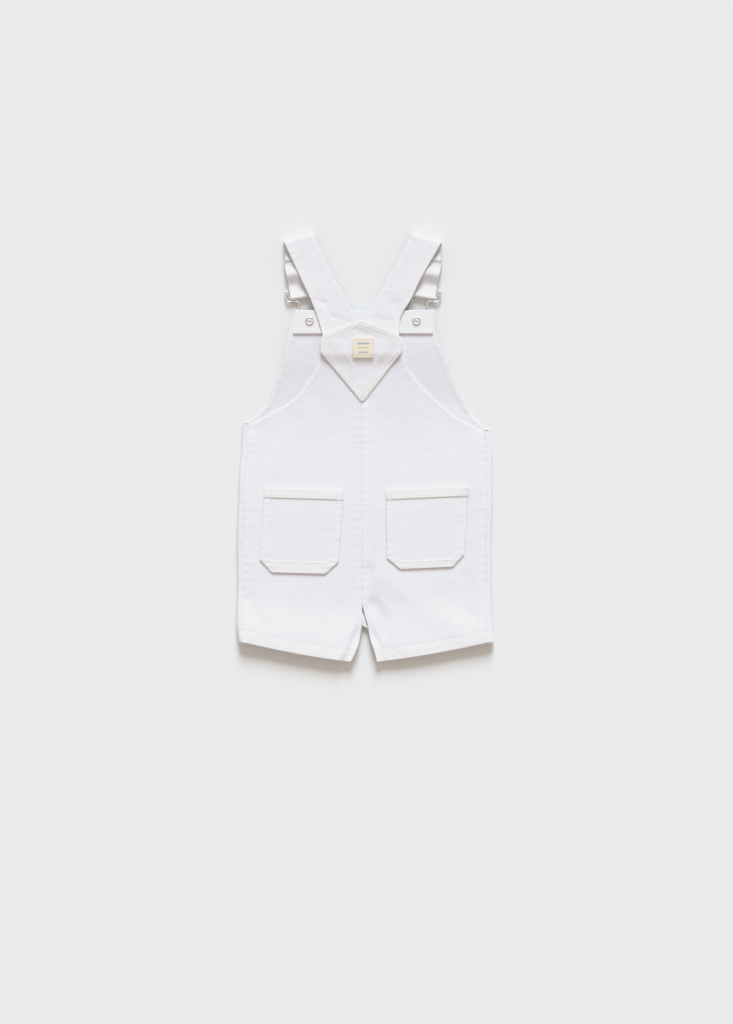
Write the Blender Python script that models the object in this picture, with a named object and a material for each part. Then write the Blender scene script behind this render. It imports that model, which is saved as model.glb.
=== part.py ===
"""A toddler's white denim shortalls, laid flat with the back up.

+X is to the right and +Y up the garment as it is seen from above, and +Z is up off the surface.
Sizes are in millimetres, and wall() and place() turn them into metres. "left" is the side at -X.
A reach is a distance from the middle of the garment out to one side.
"""

from math import cos, pi, radians, sin

import bmesh
import bpy
import numpy as np

MM = 0.001

# Driving sizes of the cloth
LENGTH = 451.0
CLOTH = 1.0
HEM_WALL = 2.4
HEM_DEPTH = 12.5
GAP = 0.3
LAID_GAP = 0.35
CENTRE_SEAM = -3.5
FELL_WIDTH = 6.3
FELL_RISE = 0.8
SIDE_SEAM_INSET = 6.3
POCKET_BAND = 10.5
POCKET_BAND_RISE = 0.8
PATCH_FOOT = 48.0
LABEL_SIZE = 21.0
LABEL_MIDDLE = (-2.6, 103.9)
FACING_FOOT = 119.0
FACING_TOP = 143.6
HOLE_DEPTH = 20.0

# Heights of the layers above the surface
BODY_TOP = 3.3
BODY_RISE = 1.9
HEM_RISE = {"left": 4.2, "right": 2.9}
HEM_RISE_DEPTH = 62.0
SIDE_RISE = 0.7
YOKE_DROP = 0.4
LEG_LIFT = 3.4
LEG_LIFT_WIDTH = 11.0
BUTTON_LIFT = 4.6
LIFT_FROM = 30.0
LIFT_LENGTH = 92.0
LIFT_SAG = 0.4
RUN_HEIGHT = 8.0
RUN_SETTLE = 12.0

# Straps and hardware
STRAP_WALL = 1.4
STRAP_END = 118.0
RETURN_LENGTH = 37.0
FOLD_RADIUS = (RUN_HEIGHT - STRAP_WALL / 2) / 2
WIRE = 0.9
NECK_HEIGHT = 3.42
CLIP_REACH = 27.0
SLIDER_AT = 33.0
SLIDER_PITCH = 7.0
SLIDER_BAR = 1.6
SLIDER_SLOT = 16.4
SLIDER_REACH = 17.6
SLIDER_WALL = 1.0
SLIDER_HEIGHT = 2.35
PIN = 1.5
METAL_ROUGHNESS = 0.3

# Levels up the garment
HEM = -203.5
INNER_HEM = -LENGTH / 2
LEVEL_FROM = -90.0
CROTCH = -172.0
BACK_TOP = 116.0
BIB_TOP = 144.0
BUTTON_LEVEL = 132.6

WHITE = (0.83, 0.82, 0.86)
CREAM = (0.87, 0.76, 0.58)
STEEL = (0.62, 0.60, 0.57)


def table(columns, rows):
    """Named columns over a short list of rows."""
    return dict(zip(columns.split(), np.array(rows, float).T))


# Levels of the rows that the front and back panels share, from the hem to just below the armholes
BODY_ROWS = HEM + np.array([
    0, 6, HEM_DEPTH, HEM_DEPTH + 1.5, 22, 32, 34, 46, 62, 80, 100, 124, 150, 175, 196, 208])

# Reach of each side edge, back armhole and bib edge, from the bottom up
OUTLINE = {
    "left": {
        "sign": -1.0,
        "armhole_base": 23.0,
        "side": table("level reach", [
            (-203.5, 133.3), (-192, 135.0), (-171, 135.0), (-139, 134.4), (-97, 134.9), (-55, 133.3),
            (-24, 132.3), (-3, 130.2), (13, 129.7), (27, 129.2)]),
        "armhole": table("level reach", [
            (23, 122.5), (27.5, 116), (32, 106.5), (40, 92), (48, 79), (65, 64.5), (78, 55.5), (100, 48.3),
            (116, 45.8)]),
        "bib": table("level reach", [
            (21, 128.6), (33, 115), (42, 106), (60, 98), (80, 90), (118, 81.4), (144, 74)]),
        "inner": table("level at", [
            (-225.5, -15.8), (-216, -11), (-204.5, -7.2), (-192, -4.9), (-185, -3.7), (-172, -3.5)]),
        "front_inner": table("level at", [
            (-225.5, -15.8), (-216, -11), (-204.5, -7.2), (-195, -5.0), (-189, -3.8), (-186, -3.6),
            (-172, -3.5)]),
    },
    "right": {
        "sign": 1.0,
        "armhole_base": 16.0,
        "side": table("level reach", [
            (-203.5, 135.0), (-192, 133.9), (-171, 132.8), (-139, 132.5), (-97, 132.3), (-55, 133.3),
            (-24, 132.8), (-3, 132.8), (13, 131.2), (27, 130.5)]),
        "armhole": table("level reach", [
            (16, 125.5), (21, 116), (26.5, 104.5), (35, 92), (47.5, 77), (62, 62), (80, 48), (106, 42),
            (116, 37.5)]),
        "bib": table("level reach", [
            (14, 129.7), (33, 112.7), (45, 105.5), (65, 94.6), (89, 85.6), (116, 74.7), (144, 72.5)]),
        "inner": table("level at", [
            (-225.5, 12.1), (-212, 8.8), (-200, 4.9), (-187, 2.5), (-177, 0.1), (-165, -3.2)]),
        "front_inner": table("level at", [
            (-225.5, 12.1), (-212, 8.8), (-200, 4.9), (-194, 3.2), (-188.5, 1.0), (-186.6, -3.0),
            (-184, -3.2), (-165, -3.2)]),
    },
}

# The largest soft folds of the back: a line from start to end, how wide, and how high or deep
FOLDS = table("x0 y0 x1 y1 width height", [
    (3, -130, 6, -165, 7, -0.9),
    (8, -166, 16, -176, 7, -0.8),
    (22, -140, 110, -200, 14, 0.7),
    (18, -186, 26, -220, 8, -0.9),
    (-122, -160, -116, -176, 7, -0.9),
    (108, -60, 100, -160, 11, -0.7),
    (96, -170, 110, -176, 8, -0.6),
    (-60, 30, -95, -20, 16, 0.5),
    (45, 40, 80, -10, 18, 0.4),
])

# Pocket outlines: how far below the top edge, and the two sides
POCKETS = {
    "left": {
        "top": -42.8, "tilt": -0.03,
        "rows": table("drop low high", [
            (0, -106.6, -23.1), (10.5, -106.9, -23.3), (11.5, -107, -23.4), (43, -108.6, -26),
            (75.6, -110.8, -28.6), (87, -100.3, -40.4), (88.4, -97.5, -43)]),
    },
    "right": {
        "top": -45.0, "tilt": 0.045,
        "rows": table("drop low high", [
            (0, 21.5, 108.2), (10.5, 21.6, 107.6), (11.5, 21.7, 107.5), (41, 22.1, 105.5),
            (71.5, 22.6, 103.4), (82.6, 34.6, 92.9), (83.8, 37, 90.5)]),
    },
}

# The diamond patch: level of each row at its ends and at its peak, and its two sides
PATCH = table("ends middle low high", [
    (49.2, 48.4, -6.0, -0.8), (60, 60, -14.6, 7.4), (72, 72, -24.8, 16.8), (82, 82, -33.2, 24.6),
    (88, 88, -38.2, 29.1), (94, 94, -43.2, 33.6), (99.5, 100, -47.2, 37.6), (104, 106.4, -47.3, 37.8),
    (109, 115, -47.2, 37.8), (114, 125.6, -46.6, 37), (118, 135.4, -44.6, 34.1)])
PEAK_AT = 0.525
PEAK_ROUND = 0.02

# Strap edges along the back run, from the shoulder towards the patch
STRAPS = {
    "left": {
        "shoulder": (-69.1, 217.0), "lean": 24.5, "button": -58.8, "clip_turn": 9.0,
        "edges": table("along outer inner", [
            (0, 15.7, 15.7), (41, 15.4, 15.7), (66, 15.4, 17.4), (86, 17, 19), (100, 19, 19),
            (118, 21, 19)]),
    },
    "right": {
        "shoulder": (63.2, 216.7), "lean": -28.5, "button": 53.6, "clip_turn": -9.0,
        "edges": table("along outer inner", [
            (0, 15.3, 15.5), (44, 14.7, 15.5), (60, 15.8, 15.8), (86, 16, 15.8), (98, 21.5, 16),
            (108, 26.5, 16), (118, 27, 16)]),
    },
}

# Height of the strap's two lower layers over the bar's end of the run
WEAVE = table("reach main returned", [
    (0, 0, 0), (8, 0, -2), (15, 0, -2), (19, 0, -0.3), (23, 1.6, 1.5), (26, 3.4, 1.75), (33, 0, 0.1),
    (40, 3.4, 0.1), (47, 0, 0)])

# Half of the wire hook, from the bottom of its loop round the button up to the middle of its bar
HOOK = table("across up", [
    (0, -4.2), (2.97, -2.97), (4.2, 0), (5.2, 4), (8, 8.5), (9.6, 13), (8.6, 18), (8.0, 20.8), (9.6, 22.6),
    (14.5, 23.0), (19.0, 23.8), (20.7, 26.5), (20.8, 32), (19.2, 34.6), (17.6, 32.4), (17.5, 28.6),
    (16.1, 27.0), (8, 27.0), (0, 27.0)])

# The tack button, turned about its own axis: head on the surface, neck, pin and the tack's back
BUTTON = table("radius height", [
    (0, 0), (6.8, 0), (8, 0.6), (8, 1.5), (7.2, 2.1), (3, 2.2), (3, 4.3), (PIN, 4.3), (PIN, 7.25),
    (4.5, 7.25), (4.5, 7.7), (3.4, 8.1), (0, 8.1)])


def ease(value):
    """0 below 0, 1 above 1 and a smooth step between."""
    t = np.clip(value, 0, 1)
    return t * t * (3 - 2 * t)


def mix(low, high, share):
    """The value that lies this share of the way from low to high."""
    return low + (high - low) * share


def through(at, stations, values):
    """Smooth curve through a table's rows: cubic pieces whose slopes come from the rows beside them."""
    slopes = np.gradient(values, stations)
    at = np.clip(at, stations[0], stations[-1])
    k = np.clip(np.searchsorted(stations, at) - 1, 0, len(stations) - 2)
    span = stations[k + 1] - stations[k]
    t = (at - stations[k]) / span
    start = (1 + 2 * t) * (1 - t) ** 2 * values[k] + t * (1 - t) ** 2 * span * slopes[k]
    end = t * t * (3 - 2 * t) * values[k + 1] + t * t * (t - 1) * span * slopes[k + 1]
    return start + end


def side_reach(side, level):
    return through(level, OUTLINE[side]["side"]["level"], OUTLINE[side]["side"]["reach"])


def inner_edge(side, level, layer="inner"):
    """Where a panel's inner leg edge or centre seam runs across the garment. The front's crotch is lower."""
    return through(level, OUTLINE[side][layer]["level"], OUTLINE[side][layer]["at"])


def hem_share(level):
    """1 through the hem's own depth, 0 from LEVEL_FROM up: how much a row follows the slanting hem."""
    band = HEM + HEM_DEPTH + 3
    return np.clip((LEVEL_FROM - level) / (LEVEL_FROM - band), 0, 1) ** 1.3


def row_level(side, level, x):
    """Where a row that starts at this level on the side edge runs at x: it sinks towards the inner leg."""
    outer = OUTLINE[side]["sign"] * OUTLINE[side]["side"]["reach"][0]
    u = np.clip((outer - x) / (outer - OUTLINE[side]["inner"]["at"][0]), 0, 1.2)
    return level - (HEM - INNER_HEM) * hem_share(level) * (u + 0.35 * u * (1 - u))


def body_rise(side, y, above_hem):
    """How much higher than at the yoke the back lies: the hips and legs hold air, most at the open hems."""
    return BODY_RISE * ease((20 - y) / 90) + HEM_RISE[side] * (1 - ease(above_hem / HEM_RISE_DEPTH))


def roll(side, level):
    """Outer radius at which the front folds round the side edge: half the height of the back beside it."""
    return (BODY_TOP + SIDE_RISE + body_rise(side, level, level - HEM)) / 2


def lift(x, y):
    """How far the bib is held off the surface by the buttons and hooks under its top corners."""
    rise = ease((y - LIFT_FROM) / LIFT_LENGTH)
    sag = LIFT_SAG * (1 - ease(np.abs(x) / 50))
    return BUTTON_LIFT * rise * (1 - sag)


def leg_lift(y, away):
    """How far the inner leg stands off the surface, this far from its edge: it curls up below the crotch."""
    return LEG_LIFT * ease((CROTCH + 8 - y) / 20) * (1 - ease(away / LEG_LIFT_WIDTH))


def folds(x, y):
    """Sum of the soft folds: each falls off smoothly with the distance from its line."""
    total = np.zeros(np.broadcast(x, y).shape)
    for x0, y0, x1, y1, width, height in zip(*FOLDS.values()):
        dx, dy = x1 - x0, y1 - y0
        t = np.clip(((x - x0) * dx + (y - y0) * dy) / (dx * dx + dy * dy), 0, 1)
        distance = np.hypot(x - x0 - t * dx, y - y0 - t * dy)
        total += height * np.exp(-((distance / width) ** 2))
    return total


def wall_at(level):
    """Thickness of a panel: the turned hem is thicker."""
    return mix(HEM_WALL, CLOTH, ease((level - HEM - HEM_DEPTH) / 1.5))


def back_top(x, y):
    """Height of the back's outer face: it rises to the hem and sides and meets the front at the inner legs."""
    left = x < CENTRE_SEAM
    seam = np.where(left, side_reach("left", y) + x, side_reach("right", y) - x) - SIDE_SEAM_INSET
    inner = np.where(left, inner_edge("left", y) - x, x - inner_edge("right", y))
    hem_line = np.where(left, row_level("left", HEM, x), row_level("right", HEM, x))
    rise = np.where(left, body_rise("left", y, y - hem_line), body_rise("right", y, y - hem_line))
    near_side = (1 - ease(seam / 24)) * ease((20 - y) / 12)
    upper = YOKE_DROP * ease((y - 40) / 40)
    top = BODY_TOP + rise + SIDE_RISE * near_side - upper + folds(x, y)
    turned_hem = 2 * (HEM_WALL - CLOTH) * (1 - ease((y - hem_line - HEM_DEPTH) / 16))
    pressed = 2 * CLOTH + GAP + turned_hem + leg_lift(y, inner)
    leg = ease((CROTCH - 6 - y) / 16) * (1 - ease(inner / mix(6, 14, ease((CROTCH - y) / 45))))
    return mix(np.maximum(top, pressed + GAP), pressed, leg) + lift(x, y)


def run_height(x, y):
    """Middle of the strap's back run: it lies on the back panel at its end, on the bib's corner above."""
    seated = back_top(x, y) + GAP + LAID_GAP + STRAP_WALL / 2
    return mix(seated, RUN_HEIGHT, ease((y - BACK_TOP) / RUN_SETTLE))


def patch_under(x, y):
    """Underside of the patch: on the back panel below, on the strap ends above."""
    low = back_top(x, y) + LAID_GAP + (STRAP_WALL + LAID_GAP + GAP) * ease((y - 84) / 16)
    high = run_height(x, y) + STRAP_WALL / 2 + LAID_GAP
    return np.where(y < 100, low, high)


def material(name, colour, roughness, metallic):
    """A plain Principled material of the part's own."""
    made = bpy.data.materials.new(name)
    made.use_nodes = True
    shader = made.node_tree.nodes["Principled BSDF"]
    shader.inputs["Base Color"].default_value = (*colour, 1)
    shader.inputs["Roughness"].default_value = roughness
    shader.inputs["Metallic"].default_value = metallic
    return made


def place(name, mesh, colour=WHITE, roughness=0.9, metallic=0.0):
    """Links one named sub-part with its own material."""
    made = bpy.data.objects.new(name, mesh)
    bpy.context.scene.collection.objects.link(made)
    made.data.materials.append(material(name, colour, roughness, metallic))
    return made


def grid_faces(rows, cols):
    """Quads between neighbouring points of a grid, as point numbers."""
    index = np.arange(rows * cols).reshape(rows, cols)
    return np.stack([index[:-1, :-1], index[:-1, 1:], index[1:, 1:], index[1:, :-1]], -1).reshape(-1, 4)


def wall(name, outer, inner, colour=WHITE, roughness=0.9):
    """A closed wall of cloth from its outer and inner grids of points, with a rim round their edges."""
    rows, cols = outer.shape[:2]
    count = rows * cols
    index = np.arange(count).reshape(rows, cols)
    faces = grid_faces(rows, cols)
    edge = np.concatenate([index[0], index[1:, -1], index[-1, -2::-1], index[-2:0:-1, 0]])
    after = np.roll(edge, -1)
    rim = np.stack([edge, after, after + count, edge + count], -1)
    points = np.concatenate([outer.reshape(-1, 3), inner.reshape(-1, 3)]) * MM
    quads = np.concatenate([faces, faces[:, ::-1] + count, rim[:, ::-1]])
    mesh = bpy.data.meshes.new(name)
    mesh.from_pydata(points.tolist(), [], quads.tolist())
    work = bmesh.new()
    work.from_mesh(mesh)
    bmesh.ops.recalc_face_normals(work, faces=work.faces)
    work.to_mesh(mesh)
    work.free()
    return place(name, mesh, colour, roughness)


def stack(x, y, z):
    """Three grids as one grid of points."""
    return np.stack(np.broadcast_arrays(x, y, z), -1)


def panel_columns(inner, outer, inner_steps, outer_steps, count):
    """Across each row: fixed steps in from both edges and even columns between them."""
    way = np.sign(outer - inner)
    start = inner + way * inner_steps[:, -1:]
    end = outer - way * outer_steps[:, -1:]
    even = mix(start, end, np.linspace(0, 1, count)[1:-1])
    return np.concatenate([inner + way * inner_steps, even, (outer - way * outer_steps)[:, ::-1]], axis=1)


def back_panel(side):
    """One half of the back: from the centre seam and inner leg out to the side seam and armhole."""
    shape = OUTLINE[side]
    base = shape["armhole_base"]
    high = mix(base, BACK_TOP, np.linspace(0, 1, 11) ** 1.2)
    level = np.concatenate([BODY_ROWS, high])[:, None]
    seam = side_reach(side, level) - SIDE_SEAM_INSET - GAP
    armhole = through(level, shape["armhole"]["level"], shape["armhole"]["reach"])
    outer = shape["sign"] * np.where(level < base, seam, np.minimum(seam, armhole))
    drop = (HEM - INNER_HEM) * hem_share(level)
    inner = inner_edge(side, level - drop)
    inner_steps = np.array([[0, FELL_WIDTH / 2, FELL_WIDTH, FELL_WIDTH + 1.2, 12]])
    x = panel_columns(inner, outer, inner_steps, np.array([[0, 4, 9]]), 10)
    y = row_level(side, level, x)
    top = back_top(x, y)
    under = top - wall_at(level)
    if side == "right":
        fell = ease((PATCH_FOOT - 10 - y) / 8) * ease((y - CROTCH) / 8)
        fell = fell * (np.abs(x - inner) < FELL_WIDTH + 0.1)
        top = top + FELL_RISE * fell
    return wall("back_" + side, stack(x, y, top), stack(x, y, under))


def front_panel(side):
    """One half of the front: flat on the surface, folded up round the side edge to the side seam.

    Beyond the start of the roll, a point at angle a round it lies at reach start + (R - t) sin a and at
    height R - (R - t) cos a, where R is the roll's outer radius and t the depth into the cloth.
    """
    shape = OUTLINE[side]
    sign = shape["sign"]
    base = shape["armhole_base"]
    low = base + np.array([0, 1.2, 2.4, 3.6, 8, 14, 22, 31, 41, 52, 62])
    level = np.concatenate([BODY_ROWS, low, [88, 97, 106, 114, 122, 133, BIB_TOP]])[:, None]
    radius = roll(side, level)
    start = side_reach(side, level) - radius
    whole = start + pi * radius + SIDE_SEAM_INSET - radius
    bib = through(level, shape["bib"]["level"], shape["bib"]["reach"])
    reach = np.where(level < base, whole, mix(whole, bib, ease((level - base) / 3.5)))
    drop = (HEM - INNER_HEM) * hem_share(level)
    inner = inner_edge(side, level - drop, "front_inner")
    flat_end = np.minimum(start, reach)
    flat = mix(sign * inner, flat_end, np.array([[0, 0.03, 0.06, 0.1, 0.22, 0.4, 0.58, 0.76, 0.9, 1]]))
    rolled = mix(flat_end, np.minimum(start + pi * radius, reach), np.linspace(0, 1, 7)[None, 1:])
    flange = mix(np.minimum(start + pi * radius, reach), reach, np.array([[0.5, 1]]))
    spread = np.concatenate([np.linspace(0, 0.9, 10), np.linspace(0.915, 1, 8)])
    even = mix(sign * inner, reach, spread[None])
    short = ease((level - base) / 3.5) * np.ones(even.shape)
    laid = mix(np.concatenate([flat, rolled, flange], axis=1), even, short)
    distance = laid - start
    angle = np.clip(distance / radius, 0, pi)
    faces = []
    for depth in (0.0, wall_at(level)):
        plan = start + np.minimum(distance, 0) + (radius - depth) * np.sin(angle)
        plan = plan - np.maximum(distance - pi * radius, 0)
        x = sign * plan
        y = row_level(side, level, x)
        away = np.abs(x - inner_edge(side, y, "front_inner"))
        z = radius - (radius - depth) * np.cos(angle) + lift(x, y) + leg_lift(y, away)
        faces.append(stack(x, y, z))
    return wall("front_" + side, faces[0], faces[1])


def pocket(side):
    """A patch pocket with clipped lower corners and a turned band along its top."""
    spec = POCKETS[side]
    rows = spec["rows"]
    low, high = rows["low"][:, None], rows["high"][:, None]
    share = np.concatenate([[0, 0.04], np.linspace(0.14, 0.86, 8), [0.96, 1]])[None]
    x = mix(low, high, share)
    y = spec["top"] + spec["tilt"] * (x - rows["low"][0]) - rows["drop"][:, None]
    under = back_top(x, y) + LAID_GAP
    band = POCKET_BAND_RISE * (rows["drop"][:, None] < POCKET_BAND + 0.1)
    return wall("back_pocket_" + side, stack(x, y, under + CLOTH + band), stack(x, y, under))


def patch():
    """The diamond over the strap ends, with clipped side corners and a low peak along its top."""
    share = np.linspace(0, 1, 11)[None]
    x = mix(PATCH["low"][:, None], PATCH["high"][:, None], share)
    peak = np.sqrt((2 * (share - PEAK_AT)) ** 2 + PEAK_ROUND)
    y = mix(PATCH["middle"][:, None], PATCH["ends"][:, None], np.clip(peak, 0, 1))
    under = patch_under(x, y)
    return wall("back_patch", stack(x, y, under + CLOTH), stack(x, y, under))


def label():
    """The small woven label on the patch."""
    x = (LABEL_MIDDLE[0] + LABEL_SIZE * np.linspace(-0.5, 0.5, 4))[None]
    y = (LABEL_MIDDLE[1] + LABEL_SIZE * np.linspace(-0.5, 0.5, 6))[:, None]
    under = patch_under(x, y) + CLOTH + LAID_GAP
    return wall("label", stack(x, y, under + CLOTH), stack(x, y, under), CREAM)


def facing():
    """The band on the bib's inside along its top edge."""
    level = mix(FACING_FOOT, FACING_TOP, np.linspace(0, 1, 4))[:, None]
    share = (level - FACING_FOOT) / (FACING_TOP - FACING_FOOT)
    low = -mix(76.1, 73.6, share)
    high = mix(70.9, 72.0, share)
    x = mix(low, high, np.linspace(0, 1, 15)[None])
    under = lift(x, level) + CLOTH + LAID_GAP
    return wall("bib_facing", stack(x, level, under + CLOTH), stack(x, level, under))


def fold_under(points, corner, line, radius):
    """Bends flat cloth down and back round a line in its plane.

    With d the distance past the line, a = d / radius up to pi, and z the height off the cloth's middle,
    a point goes to (radius + z) sin a past the line and (radius + z) cos a - radius up.
    """
    along = np.array([line[0], line[1], 0.0])
    past = np.array([-line[1], line[0], 0.0])
    offset = points - np.array([corner[0], corner[1], 0.0])
    d = offset @ past
    z = points[..., 2]
    angle = np.clip(d / radius, 0, pi)
    out = np.minimum(d, 0) + (radius + z) * np.sin(angle) - np.maximum(d - pi * radius, 0)
    flat = (offset @ along)[..., None] * along + out[..., None] * past
    flat = flat + np.array([corner[0], corner[1], 0.0])
    flat[..., 2] = (radius + z) * np.cos(angle) - radius
    return flat


def strap_frame(side):
    """How a strap and its hook lie in plan.

    Gives the shoulder, the way down the back run, the shoulder fold's own line and the way past it, the
    middle of the hook's bar, and where that lies on the strip before it is folded. The fold is tilted so
    that the middle of the folded strip runs to the middle of the bar.
    """
    spec = STRAPS[side]
    turn = radians(spec["clip_turn"])
    bar = np.array([spec["button"] - CLIP_REACH * sin(turn), BUTTON_LEVEL + CLIP_REACH * cos(turn)])
    shoulder = np.array(spec["shoulder"])
    gone = bar - shoulder
    lean = radians(spec["lean"])
    back = np.array([sin(lean), -cos(lean)])
    tilt = (lean + np.arctan2(gone[0], -gone[1])) / 2
    for _ in range(8):
        line = np.array([cos(tilt), sin(tilt)])
        past = np.array([-line[1], line[0]])
        flat_bar = line * (gone @ line) + past * (pi * FOLD_RADIUS - gone @ past)
        tilt -= (flat_bar[0] * back[1] - flat_bar[1] * back[0]) / (2 * np.linalg.norm(gone))
    return shoulder, back, line, past, bar, shoulder + flat_bar


def strap(side):
    """A strap: flat strip first, then folded round the bar of its hook and under at the shoulder."""
    spec = STRAPS[side]
    sign = OUTLINE[side]["sign"]
    shoulder, back, line, past, _, flat_bar = strap_frame(side)
    bar_radius = WIRE + LAID_GAP + STRAP_WALL / 2
    turn = radians(spec["clip_turn"])
    crosswise = np.array([cos(turn), sin(turn)])
    bar_line = line * (crosswise @ line) - past * (crosswise @ past)
    side_way = sign * np.array([-back[1], back[0]])
    end = (flat_bar - shoulder) @ back
    loop = pi * bar_radius
    run = [np.linspace(STRAP_END, 12, 10), np.linspace(4, -15, 10)]
    run += [end + np.array([50, 47, 45, 43, 41.5, 40, 38.5, 36.5, 34.5, 33])]
    run += [end + np.array([31.5, 29.5, 27.5, 26, 24.5, 22.5, 20, 16, 9, 3])]
    run += [end - loop * np.linspace(0, 1, 6)]
    run += [end - loop - np.array([3, 8, 15, 17.5, 20, 22.5, 25, 28, 31, 34, RETURN_LENGTH])]
    s = np.concatenate(run)[:, None]
    edges = spec["edges"]
    outer = through(s, edges["along"], edges["outer"])
    inner = through(s, edges["along"], edges["inner"])
    meet = -2.6 + sign * 0.16
    limit = (meet - shoulder[0] - s * back[0]) / side_way[0]
    inner = np.where(s > 0, np.minimum(inner, -limit), inner)
    w = mix(outer, -inner, np.linspace(0, 1, 5)[None])
    x = shoulder[0] + s * back[0] + w * side_way[0]
    y = shoulder[1] + s * back[1] + w * side_way[1]
    reach = s - end
    returned = end - loop - s
    main_rise = np.maximum(through(reach, WEAVE["reach"], WEAVE["main"]), 0)
    back_rise = through(returned, WEAVE["reach"], WEAVE["returned"])
    settle = np.where(s > 5, run_height(x, y) - RUN_HEIGHT, 0)
    rise = settle - main_rise + back_rise
    faces = []
    for half in (STRAP_WALL / 2, -STRAP_WALL / 2):
        points = stack(x, y, rise + half)
        points = fold_under(points, flat_bar, bar_line, bar_radius)
        points = fold_under(points, shoulder, line, FOLD_RADIUS)
        points[..., 2] += RUN_HEIGHT
        faces.append(points)
    return wall("strap_" + side, faces[0], faces[1])


def slider(side):
    """The flat metal slider: a plate with two slots, and the strap woven through it."""
    _, back, line, past, bar, _ = strap_frame(side)
    way = line * (back @ line) - past * (back @ past)
    spot = bar + way * SLIDER_AT
    heading = np.arctan2(-way[0], way[1])
    across = np.array([-SLIDER_REACH, -SLIDER_SLOT, SLIDER_SLOT, SLIDER_REACH])
    up = np.array([-1, 0, 1]).repeat(2) * SLIDER_PITCH + np.tile([-SLIDER_BAR / 2, SLIDER_BAR / 2], 3)
    work = bmesh.new()
    for i in range(3):
        for j in range(5):
            if i == 1 and j in (1, 3):
                continue
            corners = [(i, j), (i + 1, j), (i + 1, j + 1), (i, j + 1)]
            work.faces.new([work.verts.new((across[a] * MM, up[b] * MM, 0)) for a, b in corners])
    bmesh.ops.remove_doubles(work, verts=work.verts, dist=1e-6)
    grown = bmesh.ops.extrude_face_region(work, geom=work.faces[:])
    moved = [item for item in grown["geom"] if isinstance(item, bmesh.types.BMVert)]
    bmesh.ops.translate(work, verts=moved, vec=(0, 0, SLIDER_WALL * MM))
    bmesh.ops.recalc_face_normals(work, faces=work.faces)
    mesh = bpy.data.meshes.new("slider_" + side)
    work.to_mesh(mesh)
    work.free()
    made = place("slider_" + side, mesh, STEEL, METAL_ROUGHNESS, 1.0)
    made.location = (spot[0] * MM, spot[1] * MM, (SLIDER_HEIGHT - SLIDER_WALL / 2) * MM)
    made.rotation_euler = (0, 0, heading)
    return made


def clip(side):
    """The wire hook: one closed loop of wire, bar, ears, legs and the loop round the button's neck."""
    turn = radians(STRAPS[side]["clip_turn"])
    across = np.concatenate([HOOK["across"], -HOOK["across"][-2:0:-1]])
    up = np.concatenate([HOOK["up"], HOOK["up"][-2:0:-1]])
    closed = np.arange(-3, len(across) + 4)
    at = np.arange(0, len(across), 0.5)
    across = through(at, closed.astype(float), across[closed % len(across)])
    up = through(at, closed.astype(float), up[closed % len(up)])
    height = mix(NECK_HEIGHT, STRAP_WALL + LAID_GAP + WIRE, ease((up - 5) / 16))
    line = bpy.data.curves.new("clip_" + side, "CURVE")
    line.dimensions = "3D"
    line.bevel_depth = WIRE * MM
    line.bevel_resolution = 1
    route = line.splines.new("POLY")
    route.points.add(len(across) - 1)
    route.use_cyclic_u = True
    points = stack(across, up, height) * MM
    route.points.foreach_set("co", np.concatenate([points, np.ones((len(points), 1))], axis=1).ravel())
    made = place("clip_" + side, line, STEEL, METAL_ROUGHNESS, 1.0)
    made.location = (STRAPS[side]["button"] * MM, BUTTON_LEVEL * MM, 0)
    made.rotation_euler = (0, 0, turn)
    return made


def button(side):
    """A tack button, turned about its axis: its pin goes through the bib and the facing."""
    count = 16
    turn = np.arange(count) * 2 * pi / count
    radius, height = BUTTON["radius"][1:-1], BUTTON["height"][1:-1]
    ring = stack(radius[:, None] * np.cos(turn), radius[:, None] * np.sin(turn), height[:, None])
    ends = [[0, 0, BUTTON["height"][0]], [0, 0, BUTTON["height"][-1]]]
    points = np.concatenate([ring.reshape(-1, 3), ends])
    foot, crown = len(points) - 2, len(points) - 1
    index = np.arange(len(radius) * count).reshape(len(radius), count)
    after = np.roll(index, -1, axis=1)
    quads = np.stack([index[:-1], after[:-1], after[1:], index[1:]], -1).reshape(-1, 4)
    below = np.stack([0 * index[0] + foot, after[0], index[0]], -1)
    above = np.stack([0 * index[-1] + crown, index[-1], after[-1]], -1)
    mesh = bpy.data.meshes.new("button_" + side)
    mesh.from_pydata((points * MM).tolist(), [], quads.tolist() + below.tolist() + above.tolist())
    made = place("button_" + side, mesh, STEEL, METAL_ROUGHNESS, 1.0)
    made.location = (STRAPS[side]["button"] * MM, BUTTON_LEVEL * MM, 0)
    return made


def pin_hole(cloth, side):
    """A round hole through a layer of cloth for the button's pin."""
    bpy.ops.mesh.primitive_cylinder_add(vertices=12, radius=(PIN + GAP) * MM, depth=HOLE_DEPTH * MM)
    cutter = bpy.context.object
    cutter.name = "hole_" + cloth.name + "_" + side
    cutter.location = (STRAPS[side]["button"] * MM, BUTTON_LEVEL * MM, HOLE_DEPTH / 4 * MM)
    cutter.hide_render = True
    cutter.display_type = "WIRE"
    cut = cloth.modifiers.new("pin hole " + side, "BOOLEAN")
    cut.operation = "DIFFERENCE"
    cut.solver = "EXACT"
    cut.object = cutter


for old in list(bpy.data.objects):
    bpy.data.objects.remove(old)

band = facing()
for name in ("left", "right"):
    back_panel(name)
    pin_hole(front_panel(name), name)
    pin_hole(band, name)
    pocket(name)
    strap(name)
    slider(name)
    clip(name)
    button(name)
patch()
label()
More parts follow.
